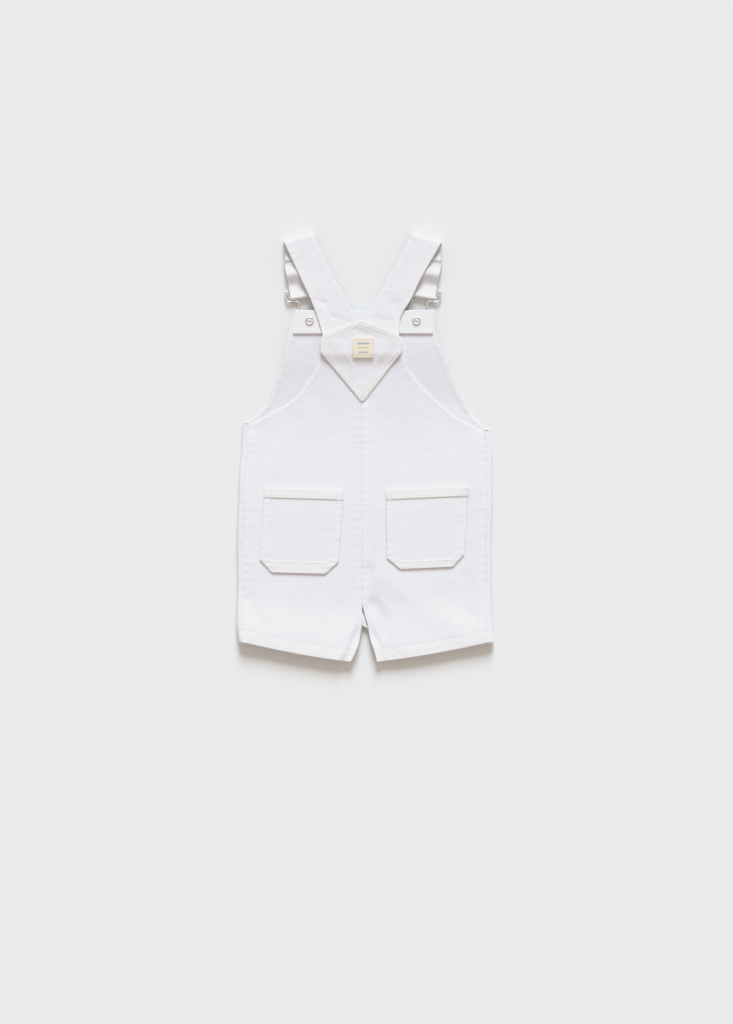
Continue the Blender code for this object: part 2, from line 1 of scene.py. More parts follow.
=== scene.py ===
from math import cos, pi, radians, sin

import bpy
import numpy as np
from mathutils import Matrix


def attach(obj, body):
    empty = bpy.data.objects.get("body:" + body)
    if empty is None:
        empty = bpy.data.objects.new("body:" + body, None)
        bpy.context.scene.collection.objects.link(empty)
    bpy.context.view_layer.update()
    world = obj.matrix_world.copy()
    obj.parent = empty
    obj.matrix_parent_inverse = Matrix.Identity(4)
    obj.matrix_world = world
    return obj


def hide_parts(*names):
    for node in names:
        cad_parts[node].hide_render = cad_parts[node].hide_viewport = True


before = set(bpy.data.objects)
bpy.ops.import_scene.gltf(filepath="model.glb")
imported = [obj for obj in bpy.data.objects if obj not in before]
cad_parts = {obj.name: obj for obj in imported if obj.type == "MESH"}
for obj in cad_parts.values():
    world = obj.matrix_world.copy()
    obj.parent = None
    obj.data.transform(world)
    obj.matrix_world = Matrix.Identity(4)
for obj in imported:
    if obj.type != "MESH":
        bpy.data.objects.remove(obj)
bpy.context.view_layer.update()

# A toddler's white denim shortalls, laid flat on a pale surface with the back up.
# +X is to the right and +Y up the garment as it is seen from above. Sizes are in millimetres.
# "left" is the side at -X, and a reach is a distance from the middle of the garment out to one side.


# The surface that the garment lies on, the light and the camera.
# A matt pale board under one low soft lamp beyond the straps and an even warm light from all round. The
# camera looks straight down, and its lens makes one pixel 1.05 mm on the cloth.

VIEW_MIDDLE = (1.05, -68.0)
VIEW_HEIGHT = 1024 * 1.05
CAMERA_UP = 2200.0
LAMP_HEIGHT = 27.0
LAMP_TURN = 3.0
LAMP_SOFTNESS = 24.0
LAMP_SHARE = (0.430, 0.490, 0.550)
ROUND_LIGHT = 1.0285
BOARD_SHADE = 0.8
MM = 0.001

# The camera holds its brightest whites back: light from the scene, up to the white level, and what is shown
WHITE_LEVEL = 2.0
HIGHLIGHTS = [(0.2, 0.2), (0.4, 0.4), (0.6, 0.6), (0.76, 0.76), (0.823, 0.823), (0.87, 0.858), (0.95, 0.885),
              (1.1, 0.90), (1.5, 0.91), (2.0, 0.915)]


def linear(code):
    """An sRGB hex colour as linear light: c / 12.92 up to 0.04045, and ((c + 0.055) / 1.055) ^ 2.4 above."""
    channels = np.array([int(code[i:i + 2], 16) for i in (0, 2, 4)]) / 255
    light = np.where(channels <= 0.04045, channels / 12.92, ((channels + 0.055) / 1.055) ** 2.4)
    return (*light.tolist(), 1.0)


def add(tree, kind, values=None, links=None, **settings):
    """Adds one node: its settings, then values and other nodes' outputs for its named sockets."""
    made = tree.nodes.new("ShaderNode" + kind)
    for key, value in settings.items():
        setattr(made, key, value)
    for key, value in (values or {}).items():
        made.inputs[key].default_value = value
    for key, source in (links or {}).items():
        tree.links.new(source, made.inputs[key])
    return made


# Painted board: matt emulsion on smooth card. It gives an even, shineless pale grey with a hardly seen tooth.
board = bpy.data.materials.new("painted board")
board.use_nodes = True
tree = board.node_tree
shader = tree.nodes["Principled BSDF"]
place_on_board = add(tree, "TexCoord")
tooth = add(tree, "TexNoise", {"Scale": 700.0, "Detail": 2.0}, {"Vector": place_on_board.outputs["Object"]})
tooth_bump = add(tree, "Bump", {"Strength": 0.05, "Distance": 0.0001}, {"Height": tooth.outputs["Fac"]})
shader.inputs["Base Color"].default_value = (BOARD_SHADE, BOARD_SHADE, BOARD_SHADE, 1.0)
shader.inputs["Roughness"].default_value = 1.0
shader.inputs["Specular IOR Level"].default_value = 0.0
tree.links.new(tooth_bump.outputs["Normal"], shader.inputs["Normal"])

half = 4000.0 * MM
floor_mesh = bpy.data.meshes.new("surface")
floor_mesh.from_pydata([(-half, -half, -0.0002), (half, -half, -0.0002), (half, half, -0.0002),
                        (-half, half, -0.0002)], [], [(0, 1, 2, 3)])
floor = bpy.data.objects.new("surface", floor_mesh)
floor.data.materials.append(board)
bpy.context.scene.collection.objects.link(floor)

world = bpy.data.worlds.new("light from all round")
world.use_nodes = True
lamp_share = np.array(LAMP_SHARE)
round_colour = ROUND_LIGHT * (1 - lamp_share)
world.node_tree.nodes["Background"].inputs["Color"].default_value = (*round_colour.tolist(), 1.0)
bpy.context.scene.world = world

lamp_data = bpy.data.lights.new("low lamp", "SUN")
lamp_data.energy = 1.0
lamp_data.color = (ROUND_LIGHT * lamp_share * pi / sin(radians(LAMP_HEIGHT))).tolist()
lamp_data.angle = radians(LAMP_SOFTNESS)
lamp = bpy.data.objects.new("low lamp", lamp_data)
lamp.rotation_euler = (radians(90 - LAMP_HEIGHT), 0, radians(180 - LAMP_TURN))
bpy.context.scene.collection.objects.link(lamp)

lens = bpy.data.cameras.new("camera")
lens.sensor_fit = "VERTICAL"
lens.sensor_height = 24.0
lens.lens = lens.sensor_height * (CAMERA_UP - 5) / VIEW_HEIGHT
camera = bpy.data.objects.new("camera", lens)
camera.location = (VIEW_MIDDLE[0] * MM, VIEW_MIDDLE[1] * MM, CAMERA_UP * MM)
bpy.context.scene.collection.objects.link(camera)
bpy.context.scene.camera = camera
view = bpy.context.scene.view_settings
view.view_transform = "Standard"
view.use_curve_mapping = True
view.curve_mapping.white_level = (WHITE_LEVEL, WHITE_LEVEL, WHITE_LEVEL)
shoulder_curve = view.curve_mapping.curves[3]
shoulder_curve.points[-1].location = (1.0, HIGHLIGHTS[-1][1])
for light, shown in HIGHLIGHTS[:-1]:
    shoulder_curve.points.new(light / WHITE_LEVEL, shown)
view.curve_mapping.update()


# The two front panels, which lie under everything else with their outside on the surface.
# Each is cut in one from hem to bib. Its side wraps up round the edge to the side seam, its hem is turned
# up and topstitched, and the bib's curved side is a narrow turned edge, seen from its inside.

CLOTH = 1.0
GAP = 0.3
LAID_GAP = 0.35
HEM_WALL = 2.4
HEM_DEPTH = 12.5
CENTRE_SEAM = -3.5
SIDE_SEAM_INSET = 6.3
BODY_TOP = 3.3
BODY_RISE = 1.9
HEM_RISE = {"left": 4.2, "right": 2.9}
HEM_RISE_DEPTH = 62.0
SIDE_RISE = 0.7
BUTTON_LIFT = 4.6
LIFT_FROM = 30.0
LIFT_LENGTH = 92.0
LIFT_SAG = 0.4
LEG_LIFT = 3.4
LEG_LIFT_WIDTH = 11.0
HEM = -203.5
INNER_HEM = -225.5
LEVEL_FROM = -90.0
CROTCH = -172.0
BIB_TOP = 144.0
EDGE_TURN = 6.0


def table(columns, rows):
    """Named columns over a short list of rows."""
    return dict(zip(columns.split(), np.array(rows, float).T))


OUTLINE = {
    "left": {
        "sign": -1.0,
        "armhole_base": 23.0,
        "side": table("level reach", [
            (-203.5, 133.3), (-192, 135.0), (-171, 135.0), (-139, 134.4), (-97, 134.9), (-55, 133.3),
            (-24, 132.3), (-3, 130.2), (13, 129.7), (27, 129.2)]),
        "armhole": table("level reach", [
            (23, 122.5), (27.5, 116), (32, 106.5), (40, 92), (48, 79), (65, 64.5), (78, 55.5), (100, 48.3),
            (116, 45.8)]),
        "bib": table("level reach", [
            (21, 128.6), (33, 115), (42, 106), (60, 98), (80, 90), (118, 81.4), (144, 74)]),
        "inner": table("level at", [
            (-225.5, -15.8), (-216, -11), (-204.5, -7.2), (-192, -4.9), (-185, -3.7), (-172, -3.5)]),
        "front_inner": table("level at", [
            (-225.5, -15.8), (-216, -11), (-204.5, -7.2), (-195, -5.0), (-189, -3.8), (-186, -3.6),
            (-172, -3.5)]),
    },
    "right": {
        "sign": 1.0,
        "armhole_base": 16.0,
        "side": table("level reach", [
            (-203.5, 135.0), (-192, 133.9), (-171, 132.8), (-139, 132.5), (-97, 132.3), (-55, 133.3),
            (-24, 132.8), (-3, 132.8), (13, 131.2), (27, 130.5)]),
        "armhole": table("level reach", [
            (16, 125.5), (21, 116), (26.5, 104.5), (35, 92), (47.5, 77), (62, 62), (80, 48), (106, 42),
            (116, 37.5)]),
        "bib": table("level reach", [
            (14, 129.7), (33, 112.7), (45, 105.5), (65, 94.6), (89, 85.6), (116, 74.7), (144, 72.5)]),
        "inner": table("level at", [
            (-225.5, 12.1), (-212, 8.8), (-200, 4.9), (-187, 2.5), (-177, 0.1), (-165, -3.46)]),
        "front_inner": table("level at", [
            (-225.5, 12.1), (-212, 8.8), (-200, 4.9), (-194, 3.2), (-188.5, 1.0), (-186.6, -3.2),
            (-184, -3.46), (-165, -3.46)]),
    },
}

# Soft creases that the front takes from lying folded: a line, how wide, and how high
FRONT_CREASES = table("x0 y0 x1 y1 width height", [
    (-120, -150, -60, -178, 9, 0.35), (-40, -120, -14, -168, 8, 0.3), (22, -118, 70, -170, 10, 0.35),
    (112, -60, 96, -132, 9, 0.3), (-118, -20, -84, -66, 11, 0.3), (-70, 40, -100, 12, 8, 0.25),
    (50, 60, 96, 20, 10, 0.3), (-20, 20, 34, -6, 12, 0.22), (-52, 92, 12, 84, 9, 0.2),
    (30, -196, 60, -214, 7, 0.3),
])


def ease(value):
    """0 below 0, 1 above 1 and a smooth step between."""
    t = np.clip(value, 0, 1)
    return t * t * (3 - 2 * t)


def mix(low, high, share):
    """The value that lies this share of the way from low to high."""
    return low + (high - low) * share


def through(at, stations, values):
    """Smooth curve through a table's rows: cubic pieces whose slopes come from the rows beside them."""
    slopes = np.gradient(values, stations)
    at = np.clip(at, stations[0], stations[-1])
    k = np.clip(np.searchsorted(stations, at) - 1, 0, len(stations) - 2)
    span = stations[k + 1] - stations[k]
    t = (at - stations[k]) / span
    start = (1 + 2 * t) * (1 - t) ** 2 * values[k] + t * (1 - t) ** 2 * span * slopes[k]
    end = t * t * (3 - 2 * t) * values[k + 1] + t * t * (t - 1) * span * slopes[k + 1]
    return start + end


def side_reach(side, level):
    return through(level, OUTLINE[side]["side"]["level"], OUTLINE[side]["side"]["reach"])


def inner_edge(side, level, layer="inner"):
    """Where a panel's inner leg edge or centre seam runs across the garment. The front's crotch is lower."""
    return through(level, OUTLINE[side][layer]["level"], OUTLINE[side][layer]["at"])


def hem_share(level):
    """1 through the hem's own depth, 0 from LEVEL_FROM up: how much a row follows the slanting hem."""
    band = HEM + HEM_DEPTH + 3
    return np.clip((LEVEL_FROM - level) / (LEVEL_FROM - band), 0, 1) ** 1.3


def row_level(side, level, x):
    """Where a row that starts at this level on the side edge runs at x: it sinks towards the inner leg."""
    outer = OUTLINE[side]["sign"] * OUTLINE[side]["side"]["reach"][0]
    u = np.clip((outer - x) / (outer - OUTLINE[side]["inner"]["at"][0]), 0, 1.2)
    return level - (HEM - INNER_HEM) * hem_share(level) * (u + 0.35 * u * (1 - u))


def body_rise(side, y, above_hem):
    """How much higher than at the yoke the back lies: the hips and legs hold air, most at the open hems."""
    return BODY_RISE * ease((20 - y) / 90) + HEM_RISE[side] * (1 - ease(above_hem / HEM_RISE_DEPTH))


def roll(side, level):
    """Outer radius at which the front folds round the side edge: half the height of the back beside it."""
    return (BODY_TOP + SIDE_RISE + body_rise(side, level, level - HEM)) / 2


def lift(x, y):
    """How far the bib is held off the surface by the buttons and hooks under its top corners."""
    rise = ease((y - LIFT_FROM) / LIFT_LENGTH)
    sag = LIFT_SAG * (1 - ease(np.abs(x) / 50))
    return BUTTON_LIFT * rise * (1 - sag)


def leg_lift(y, away):
    """How far the inner leg stands off the surface, this far from its edge: it curls up below the crotch."""
    return LEG_LIFT * ease((CROTCH + 8 - y) / 20) * (1 - ease(away / LEG_LIFT_WIDTH))


def creases(rows, x, y):
    """Sum of soft folds: each is height * exp(-(distance from its line / width)^2)."""
    total = np.zeros(np.broadcast(x, y).shape)
    for x0, y0, x1, y1, width, height in zip(*rows.values()):
        dx, dy = x1 - x0, y1 - y0
        t = np.clip(((x - x0) * dx + (y - y0) * dy) / (dx * dx + dy * dy), 0, 1)
        distance = np.hypot(x - x0 - t * dx, y - y0 - t * dy)
        total += height * np.exp(-((distance / width) ** 2))
    return total


def pull_marks(along, away, pitch, height, reach):
    """Where thread draws cloth up: height * sin(2 pi along / pitch + drift) * exp(-(away / reach)^2).

    The drift and the swell are slower sines, so that no two marks are alike.
    """
    drift = 1.4 * np.sin(along / 9.7) + 1.1 * np.sin(along / 23.1 + 1.0)
    swell = 0.6 + 0.4 * np.sin(along / 15.3 + 0.5) * np.sin(along / 41.0 + 2.0)
    return height * swell * np.sin(2 * pi * along / pitch + drift) * np.exp(-((away / reach) ** 2))


def groove(away, depth, width):
    """A stitched line pressed into cloth: -depth * exp(-(away / width)^2)."""
    return -depth * np.exp(-((away / width) ** 2))


def turned(away, width, height):
    """Cloth raised over an edge turned under: its height within width of the edge, with a soft step."""
    return height * ease((width - away) / 0.9)


def rounded(away, radius):
    """The drop of a rounded edge: radius * (1 - sqrt(1 - (1 - away / radius)^2)), 0 past the radius."""
    short = 1 - np.clip(away / radius, 0, 1)
    return -radius * (1 - np.sqrt(1 - short * short))


def steps(start, end, pitch):
    """Even steps of about this pitch, with closer ones at both ends for the rounded edges."""
    near = np.array([0.12, 0.3, 0.6, 1.0])
    way = np.sign(end - start)
    count = int(abs(end - start) / pitch)
    even = np.linspace(start + way * 1.6, end - way * 1.6, max(count, 2))
    return np.concatenate([[start], start + way * near, even, end - way * near[::-1], [end]])


def stack(x, y, z):
    """Three grids as one grid of points."""
    return np.stack(np.broadcast_arrays(x, y, z), -1)


def plain_piece(name, points, faces, finish, values=None):
    """A mesh from points in millimetres, smooth but for its sharp edges, with any values of its own by name.

    The signed volume says whether the faces point inwards, and then they are turned.
    """
    corners = points[faces[:, :3]]
    volume = np.einsum("ij,ij->", corners[:, 0], np.cross(corners[:, 1], corners[:, 2]))
    if faces.shape[1] == 4:
        rest = points[faces[:, [0, 2, 3]]]
        volume += np.einsum("ij,ij->", rest[:, 0], np.cross(rest[:, 1], rest[:, 2]))
    if volume < 0:
        faces = faces[:, ::-1]
    mesh = bpy.data.meshes.new(name)
    mesh.from_pydata((points * MM).tolist(), [], faces.tolist())
    mesh.shade_smooth()
    mesh.set_sharp_from_angle(angle=radians(50))
    for key, value in (values or {}).items():
        kind = "FLOAT_VECTOR" if value.ndim > 1 else "FLOAT"
        entry = mesh.attributes.new(key, kind, "POINT")
        entry.data.foreach_set("vector" if value.ndim > 1 else "value", value.astype(np.float32).ravel())
    made = bpy.data.objects.new(name, mesh)
    made.data.materials.append(finish)
    bpy.context.scene.collection.objects.link(made)
    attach(made, "root")
    return made


def cloth_piece(name, outer, inner, grain, rubbed, finish):
    """A closed wall of cloth between its outer and inner grids, with a rim round their edges.

    grain is the place of each point on the flat cloth, across and along the warp, and rubbed is 1 where
    the cloth is worn pale, as on turned edges. Both go to the material.
    """
    rows, cols = outer.shape[:2]
    count = rows * cols
    index = np.arange(count).reshape(rows, cols)
    faces = np.stack([index[:-1, :-1], index[:-1, 1:], index[1:, 1:], index[1:, :-1]], -1).reshape(-1, 4)
    edge = np.concatenate([index[0], index[1:, -1], index[-1, -2::-1], index[-2:0:-1, 0]])
    after = np.roll(edge, -1)
    rim = np.stack([edge, after, after + count, edge + count], -1)
    points = np.concatenate([outer.reshape(-1, 3), inner.reshape(-1, 3)])
    quads = np.concatenate([faces, faces[:, ::-1] + count, rim[:, ::-1]])
    flat = stack(grain[0] * MM, grain[1] * MM, 0.0 * outer[..., 0]).reshape(-1, 3)
    worn = np.broadcast_to(rubbed, (rows, cols)).ravel()
    values = {"grain": np.tile(flat, (2, 1)), "rubbed": np.tile(worn, 2)}
    made = plain_piece(name, points, quads, finish, values)
    return made


# Bull denim: heavy cotton 3/1 twill, bleached white and washed soft. It gives the eye a matt, faintly
# lavender white with fine diagonal ribs, uneven yarns, and paler neutral white where turned edges are rubbed.
# The ribs are 1.1 mm apart, twice the real thread's, so that they show at one pixel to the millimetre.
TWILL_PITCH = 1.1
denim = bpy.data.materials.new("bull denim")
denim.use_nodes = True
tree = denim.node_tree
shader = tree.nodes["Principled BSDF"]
flat_place = add(tree, "Attribute", attribute_name="grain")
rub = add(tree, "Attribute", attribute_name="rubbed")
slanted = add(tree, "Mapping", {"Rotation": (0, 0, radians(-32))}, {"Vector": flat_place.outputs["Vector"]})
twill = add(tree, "TexWave", {"Scale": 2 * pi / 20 / (TWILL_PITCH * MM), "Distortion": 1.2, "Detail": 2.0,
                              "Detail Scale": 1.5}, {"Vector": slanted.outputs["Vector"]})
stretched = add(tree, "Mapping", {"Scale": (1.0, 0.12, 1.0)}, {"Vector": flat_place.outputs["Vector"]})
slub = add(tree, "TexNoise", {"Scale": 620.0, "Detail": 3.0}, {"Vector": stretched.outputs["Vector"]})
object_place = add(tree, "TexCoord")
wash = add(tree, "TexNoise", {"Scale": 38.0, "Detail": 3.0}, {"Vector": object_place.outputs["Object"]})
crumple = add(tree, "TexNoise", {"Scale": 75.0, "Detail": 2.5, "Roughness": 0.45},
              {"Vector": object_place.outputs["Object"]})
yarns = add(tree, "Mix", {"Factor": 0.45}, {"A": twill.outputs["Fac"], "B": slub.outputs["Fac"]})
crumple_bump = add(tree, "Bump", {"Strength": 0.35, "Distance": 0.0011}, {"Height": crumple.outputs["Fac"]})
weave_bump = add(tree, "Bump", {"Strength": 0.30, "Distance": 0.00022},
                 {"Height": yarns.outputs[0], "Normal": crumple_bump.outputs["Normal"]})
body_white = add(tree, "Mix", {6: linear("e5e4eb"), 7: linear("e8e7ee")}, {"Factor": wash.outputs["Fac"]},
                 data_type="RGBA")
whiter = add(tree, "Mix", {7: linear("eae9ea")}, {"Factor": rub.outputs["Fac"], 6: body_white.outputs[2]},
             data_type="RGBA")
# Painted shade and light: the field that raises the twill's ribs also colours its grooves up to 4.5 % darker and
# the rib tops 2 % lighter. The slub's part of that field is uneven yarn tone.
groove_shade_and_slub = add(tree, "MapRange", {"To Min": 0.955, "To Max": 1.02}, {"Value": yarns.outputs[0]})
shade = add(tree, "VectorMath", {}, {0: whiter.outputs[2], 1: groove_shade_and_slub.outputs["Result"]},
            operation="MULTIPLY")
tree.links.new(shade.outputs["Vector"], shader.inputs["Base Color"])
tree.links.new(weave_bump.outputs["Normal"], shader.inputs["Normal"])
shader.inputs["Roughness"].default_value = 0.92
shader.inputs["Specular IOR Level"].default_value = 0.25
shader.inputs["Sheen Weight"].default_value = 0.08
shader.inputs["Sheen Roughness"].default_value = 0.6


def front_path(side, level):
    """Across a row of the front, the distances from the middle of the garment along the cloth.

    Gives them with where the roll starts and its outer radius. Below the armhole the cloth goes on round
    the side edge to the side seam, and above it the cloth ends at the bib's edge.
    """
    shape = OUTLINE[side]
    base = shape["armhole_base"]
    radius = roll(side, level)
    start = side_reach(side, level) - radius
    whole = start + pi * radius + SIDE_SEAM_INSET - radius
    bib = through(level, shape["bib"]["level"], shape["bib"]["reach"])
    reach = np.where(level < base, whole, mix(whole, bib, ease((level - base) / 3.5)))
    inner = shape["sign"] * inner_edge(side, level - (HEM - INNER_HEM) * hem_share(level), "front_inner")
    flat_end = np.minimum(start, reach)
    end = np.minimum(start + pi * radius, reach)
    near = np.array([[0, 0.15, 0.4, 0.8]])
    flat = mix(inner + 1.4, flat_end, np.linspace(0, 1, 64)[None])
    rolled = mix(flat_end, end, np.linspace(0, 1, 13)[None, 1:])
    flange = mix(end, reach, np.array([[0.3, 0.6, 0.8, 0.92, 0.97, 1]]))
    around = np.concatenate([inner + near, flat, rolled, flange], axis=1)
    even = np.concatenate([inner + near, mix(inner + 1.4, reach - 1.4, np.linspace(0, 1, 76)[None]),
                           reach - np.array([[1.2, 1.0, 0.8, 0.55, 0.3, 0]])], axis=1)
    return mix(around, even, ease((level - base) / 3.5) * np.ones((1, around.shape[1]))), start, radius


def bib_edge(side, y):
    """Across the garment, where the bib's curved side runs."""
    shape = OUTLINE[side]
    return shape["sign"] * through(y, shape["bib"]["level"], shape["bib"]["reach"])


def bib_relief(side, x, y):
    """Height that the bib's inside gains from its turned side edge, stitched line and creases."""
    away = np.abs(bib_edge(side, y) - x)
    above = ease((y - OUTLINE[side]["armhole_base"] - 4) / 6)
    edge = turned(away, EDGE_TURN, 0.20) + pull_marks(y + 0.4 * x, away - 3, 8.0, 0.07, 4.5)
    edge = edge + groove(away - EDGE_TURN + 1, 0.12, 0.9)
    return (edge + rounded(away, 0.45)) * above + 0.5 * creases(FRONT_CREASES, x, y) * ease((y + 10) / 40)


def hem_relief(side, x, y):
    """The turned hem's pull marks and pressed stitch line, strongest at the inner leg's corner."""
    above = y - row_level(side, HEM, x)
    corner = 1 + 0.9 * np.exp(-(np.abs(x - inner_edge(side, y)) / 26) ** 2)
    ropes = pull_marks(x + 0.75 * above, above - 7.5, 8.2, 0.085, 6.5) * corner
    return ropes + groove(above - HEM_DEPTH, 0.22, 1.0) + rounded(np.clip(above, 0, None), 0.8)


for side, sign in (("left", -1.0), ("right", 1.0)):
    base = OUTLINE[side]["armhole_base"]
    rows_up = np.concatenate([HEM + np.array([0, 0.15, 0.4, 0.8, 1.4]), np.arange(HEM + 2.4, base, 1.75),
                              base + np.arange(0, 4.4, 0.6), np.arange(base + 5, BIB_TOP - 1.6, 1.6),
                              BIB_TOP - np.array([1.2, 0.8, 0.4, 0.15, 0])])[:, None]
    laid, start, radius = front_path(side, rows_up)
    beyond = laid - start
    angle = np.clip(beyond / radius, 0, pi)
    hem_wall = mix(HEM_WALL, CLOTH, ease((rows_up - HEM - HEM_DEPTH) / 1.5))
    sheets = []
    for depth in (0.0, hem_wall):
        plan = start + np.minimum(beyond, 0) + (radius - depth) * np.sin(angle)
        x = sign * (plan - np.maximum(beyond - pi * radius, 0))
        y = row_level(side, rows_up, x)
        away = np.abs(x - inner_edge(side, y, "front_inner"))
        z = radius - (radius - depth) * np.cos(angle) + lift(x, y) + leg_lift(y, away)
        sheets.append(stack(x, y, z))
    outside, inside = sheets
    x, y = outside[..., 0], outside[..., 1]
    flat_part = 1 - ease(beyond / 3)
    edge = np.abs(x - inner_edge(side, y, "front_inner"))
    seam = turned(edge, 6.3, -0.25) * ease((y - CROTCH) / 8) + rounded(edge, 0.4)
    down = creases(FRONT_CREASES, x, y) - hem_relief(side, x, y) * 0.6 - seam
    bib_side = np.abs(bib_edge(side, y) - x)
    down = down - rounded(bib_side, 0.45) * ease((y - base - 4) / 6)
    outside[..., 2] += np.clip(down, 0, None) * flat_part
    inside[..., 2] += bib_relief(side, inside[..., 0], inside[..., 1]) * flat_part
    worn = np.maximum(0.8 * ease((HEM_DEPTH - (y - row_level(side, HEM, x))) / 2),
                      0.6 * ease((EDGE_TURN - bib_side) / 2) * ease((y - base) / 6))
    panel = cloth_piece("front_panel_" + side, outside, inside, (sign * laid, y), worn, denim)
    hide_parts("front_" + side)


# The topstitching of the front: two-ply cotton thread along the hem, the bib's turned sides and the centre.
# Each stitch is a short soft capsule that dips into the cloth at both ends.

STITCH = 2.5
STITCH_PITCH = 3.1
THREAD = 0.30
TACK_THREAD = 0.34

# Cotton thread: mercerised and undyed. It gives the eye small clean white beads with a soft shine.
thread = bpy.data.materials.new("cotton thread")
thread.use_nodes = True
tree = thread.node_tree
shader = tree.nodes["Principled BSDF"]
thread_place = add(tree, "TexCoord")
ply = add(tree, "TexWave", {"Scale": 2 * pi / 20 / (0.5 * MM), "Distortion": 0.5},
          {"Vector": thread_place.outputs["Object"]}, bands_direction="DIAGONAL")
ply_bump = add(tree, "Bump", {"Strength": 0.3, "Distance": 0.0001}, {"Height": ply.outputs["Fac"]})
tree.links.new(ply_bump.outputs["Normal"], shader.inputs["Normal"])
shader.inputs["Base Color"].default_value = linear("efeeee")
shader.inputs["Roughness"].default_value = 0.7


def capsules(name, starts, ends, up, radius=THREAD):
    """Soft capsules between pairs of points, as closed beads of five rings of six.

    A ring at share t of the way has radius sin(pi t) ^ 0.5 and is raised by the same arch along up, so
    that both ends go into the cloth.
    """
    t = np.array([0.0, 0.12, 0.35, 0.65, 0.88, 1.0])
    arch = np.sqrt(np.sin(pi * t)) + 1e-3
    way = ends - starts
    length = np.linalg.norm(way, axis=1, keepdims=True)
    way = way / length
    upward = up - way * np.sum(up * way, axis=1, keepdims=True)
    upward = upward / np.linalg.norm(upward, axis=1, keepdims=True)
    across = np.cross(way, upward)
    turn = np.arange(6) * pi / 3
    middle = starts[:, None] + (way * length)[:, None] * t[None, :, None]
    middle = middle + upward[:, None] * (arch * 0.6 - 0.35)[None, :, None] * radius
    ring = np.cos(turn)[:, None] * across[:, None, None] + np.sin(turn)[:, None] * upward[:, None, None]
    points = middle[:, :, None] + ring * (arch * radius)[None, :, None, None]
    one = np.arange(36).reshape(6, 6)
    after = np.roll(one, -1, axis=1)
    side_faces = np.stack([one[:-1], after[:-1], after[1:], one[1:]], -1)
    caps = np.array([[0, 5, 4, 3], [0, 3, 2, 1], [30, 31, 32, 33], [30, 33, 34, 35]])
    faces = np.concatenate([side_faces.reshape(-1, 4), caps])
    every = (faces[None] + 36 * np.arange(len(starts))[:, None, None]).reshape(-1, 4)
    return plain_piece(name, points.reshape(-1, 3), every, thread)


def along(path, pitch=STITCH_PITCH, length=STITCH):
    """Starts and ends of stitches at even steps of arc length along a path of points."""
    distance = np.concatenate([[0], np.cumsum(np.linalg.norm(np.diff(path, axis=0), axis=1))])
    first = np.arange(0.5, distance[-1] - length, pitch)
    return tuple(np.stack([np.interp(at, distance, path[:, k]) for k in range(3)], -1)
                 for at in (first, first + length))


def sew(name, paths, upward=1.0):
    """One piece of stitching from several paths that lie on the cloth's face."""
    pairs = [along(path) for path in paths]
    starts = np.concatenate([pair[0] for pair in pairs])
    ends = np.concatenate([pair[1] for pair in pairs])
    return capsules(name, starts, ends, np.tile([0.0, 0.0, upward], (len(starts), 1)))


front_rows = []
for side, sign in (("left", -1.0), ("right", 1.0)):
    up = np.linspace(OUTLINE[side]["armhole_base"] + 9, BIB_TOP - 2, 90)
    across = bib_edge(side, up) - sign * (EDGE_TURN - 1)
    height = CLOTH + lift(across, up) + bib_relief(side, across, up)
    front_rows.append(stack(across, up, height))
sew("bib_stitching", front_rows)

under_rows = []
for side, sign in (("left", -1.0), ("right", 1.0)):
    x = np.linspace(inner_edge(side, INNER_HEM) + sign * 1.5, sign * 128, 90)
    y = row_level(side, HEM, x) + HEM_DEPTH - 1
    under_rows.append(stack(x, y, 0.05 + leg_lift(y, np.abs(x - inner_edge(side, y, "front_inner")))))
y = np.linspace(CROTCH + 9, 80, 120)
under_rows += [stack(CENTRE_SEAM + reach, y, 0.3 + lift(CENTRE_SEAM + reach, y)) for reach in (1.5, 5.5)]
sew("front_stitching", under_rows, -1.0)


# The facing: a straight band sewn inside the bib's top edge, which the buttons go through.
# It is the same denim, turned under along its lower edge and topstitched there.

FACING_FOOT = 119.0
FACING_TOP = 143.6


def facing_edge(y, sign):
    """Across the garment, where the facing ends on one side."""
    share = (y - FACING_FOOT) / (FACING_TOP - FACING_FOOT)
    return mix(-76.1, -73.6, share) if sign < 0 else mix(70.9, 72.0, share)


def facing_face(x, y):
    """Height of the facing's upper face, with its turned lower edge, rounded rim and pull marks."""
    foot = y - FACING_FOOT
    face = lift(x, y) + CLOTH + LAID_GAP + CLOTH + turned(foot, 5.0, 0.35) + groove(foot - 4.2, 0.12, 0.8)
    face = face + pull_marks(x, foot - 3, 7.5, 0.10, 4) + pull_marks(x + 3, FACING_TOP - y - 2, 9.0, 0.10, 4)
    sides = np.minimum(x - facing_edge(y, -1), facing_edge(y, 1) - x)
    return face + rounded(foot, 0.5) + rounded(FACING_TOP - y, 0.4) + rounded(np.clip(sides, 0, None), 0.3)


y = steps(FACING_FOOT, FACING_TOP, 1.0)[:, None]
x = mix(facing_edge(y, -1), facing_edge(y, 1), (steps(0, 150, 1.15) / 150)[None])
upper = stack(x, y, facing_face(x, y))
lower = stack(x, y, lift(x, y) + CLOTH + LAID_GAP)
facing = cloth_piece("bib_facing_band", upper, lower, (x, y), 0.75, denim)
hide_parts("bib_facing")

x = np.linspace(-73, 69, 140)
sew("facing_stitching", [stack(x, FACING_FOOT + 4.2, facing_face(x, FACING_FOOT + 4.2))])


# The two back panels, which lie on the front with their outside up.
# Each runs from the centre seam and inner leg to the side seam, and above that to the turned armhole edge.
# The centre seam is felled: the right panel's edge is turned over the left one's and stitched down twice.

FELL_WIDTH = 6.3
FELL_RISE = 0.5
SEWN = 0.04
ARMHOLE_DROP = 0.5
PATCH_FOOT = 48.0
YOKE_DROP = 0.4
BACK_TOP = 116.0

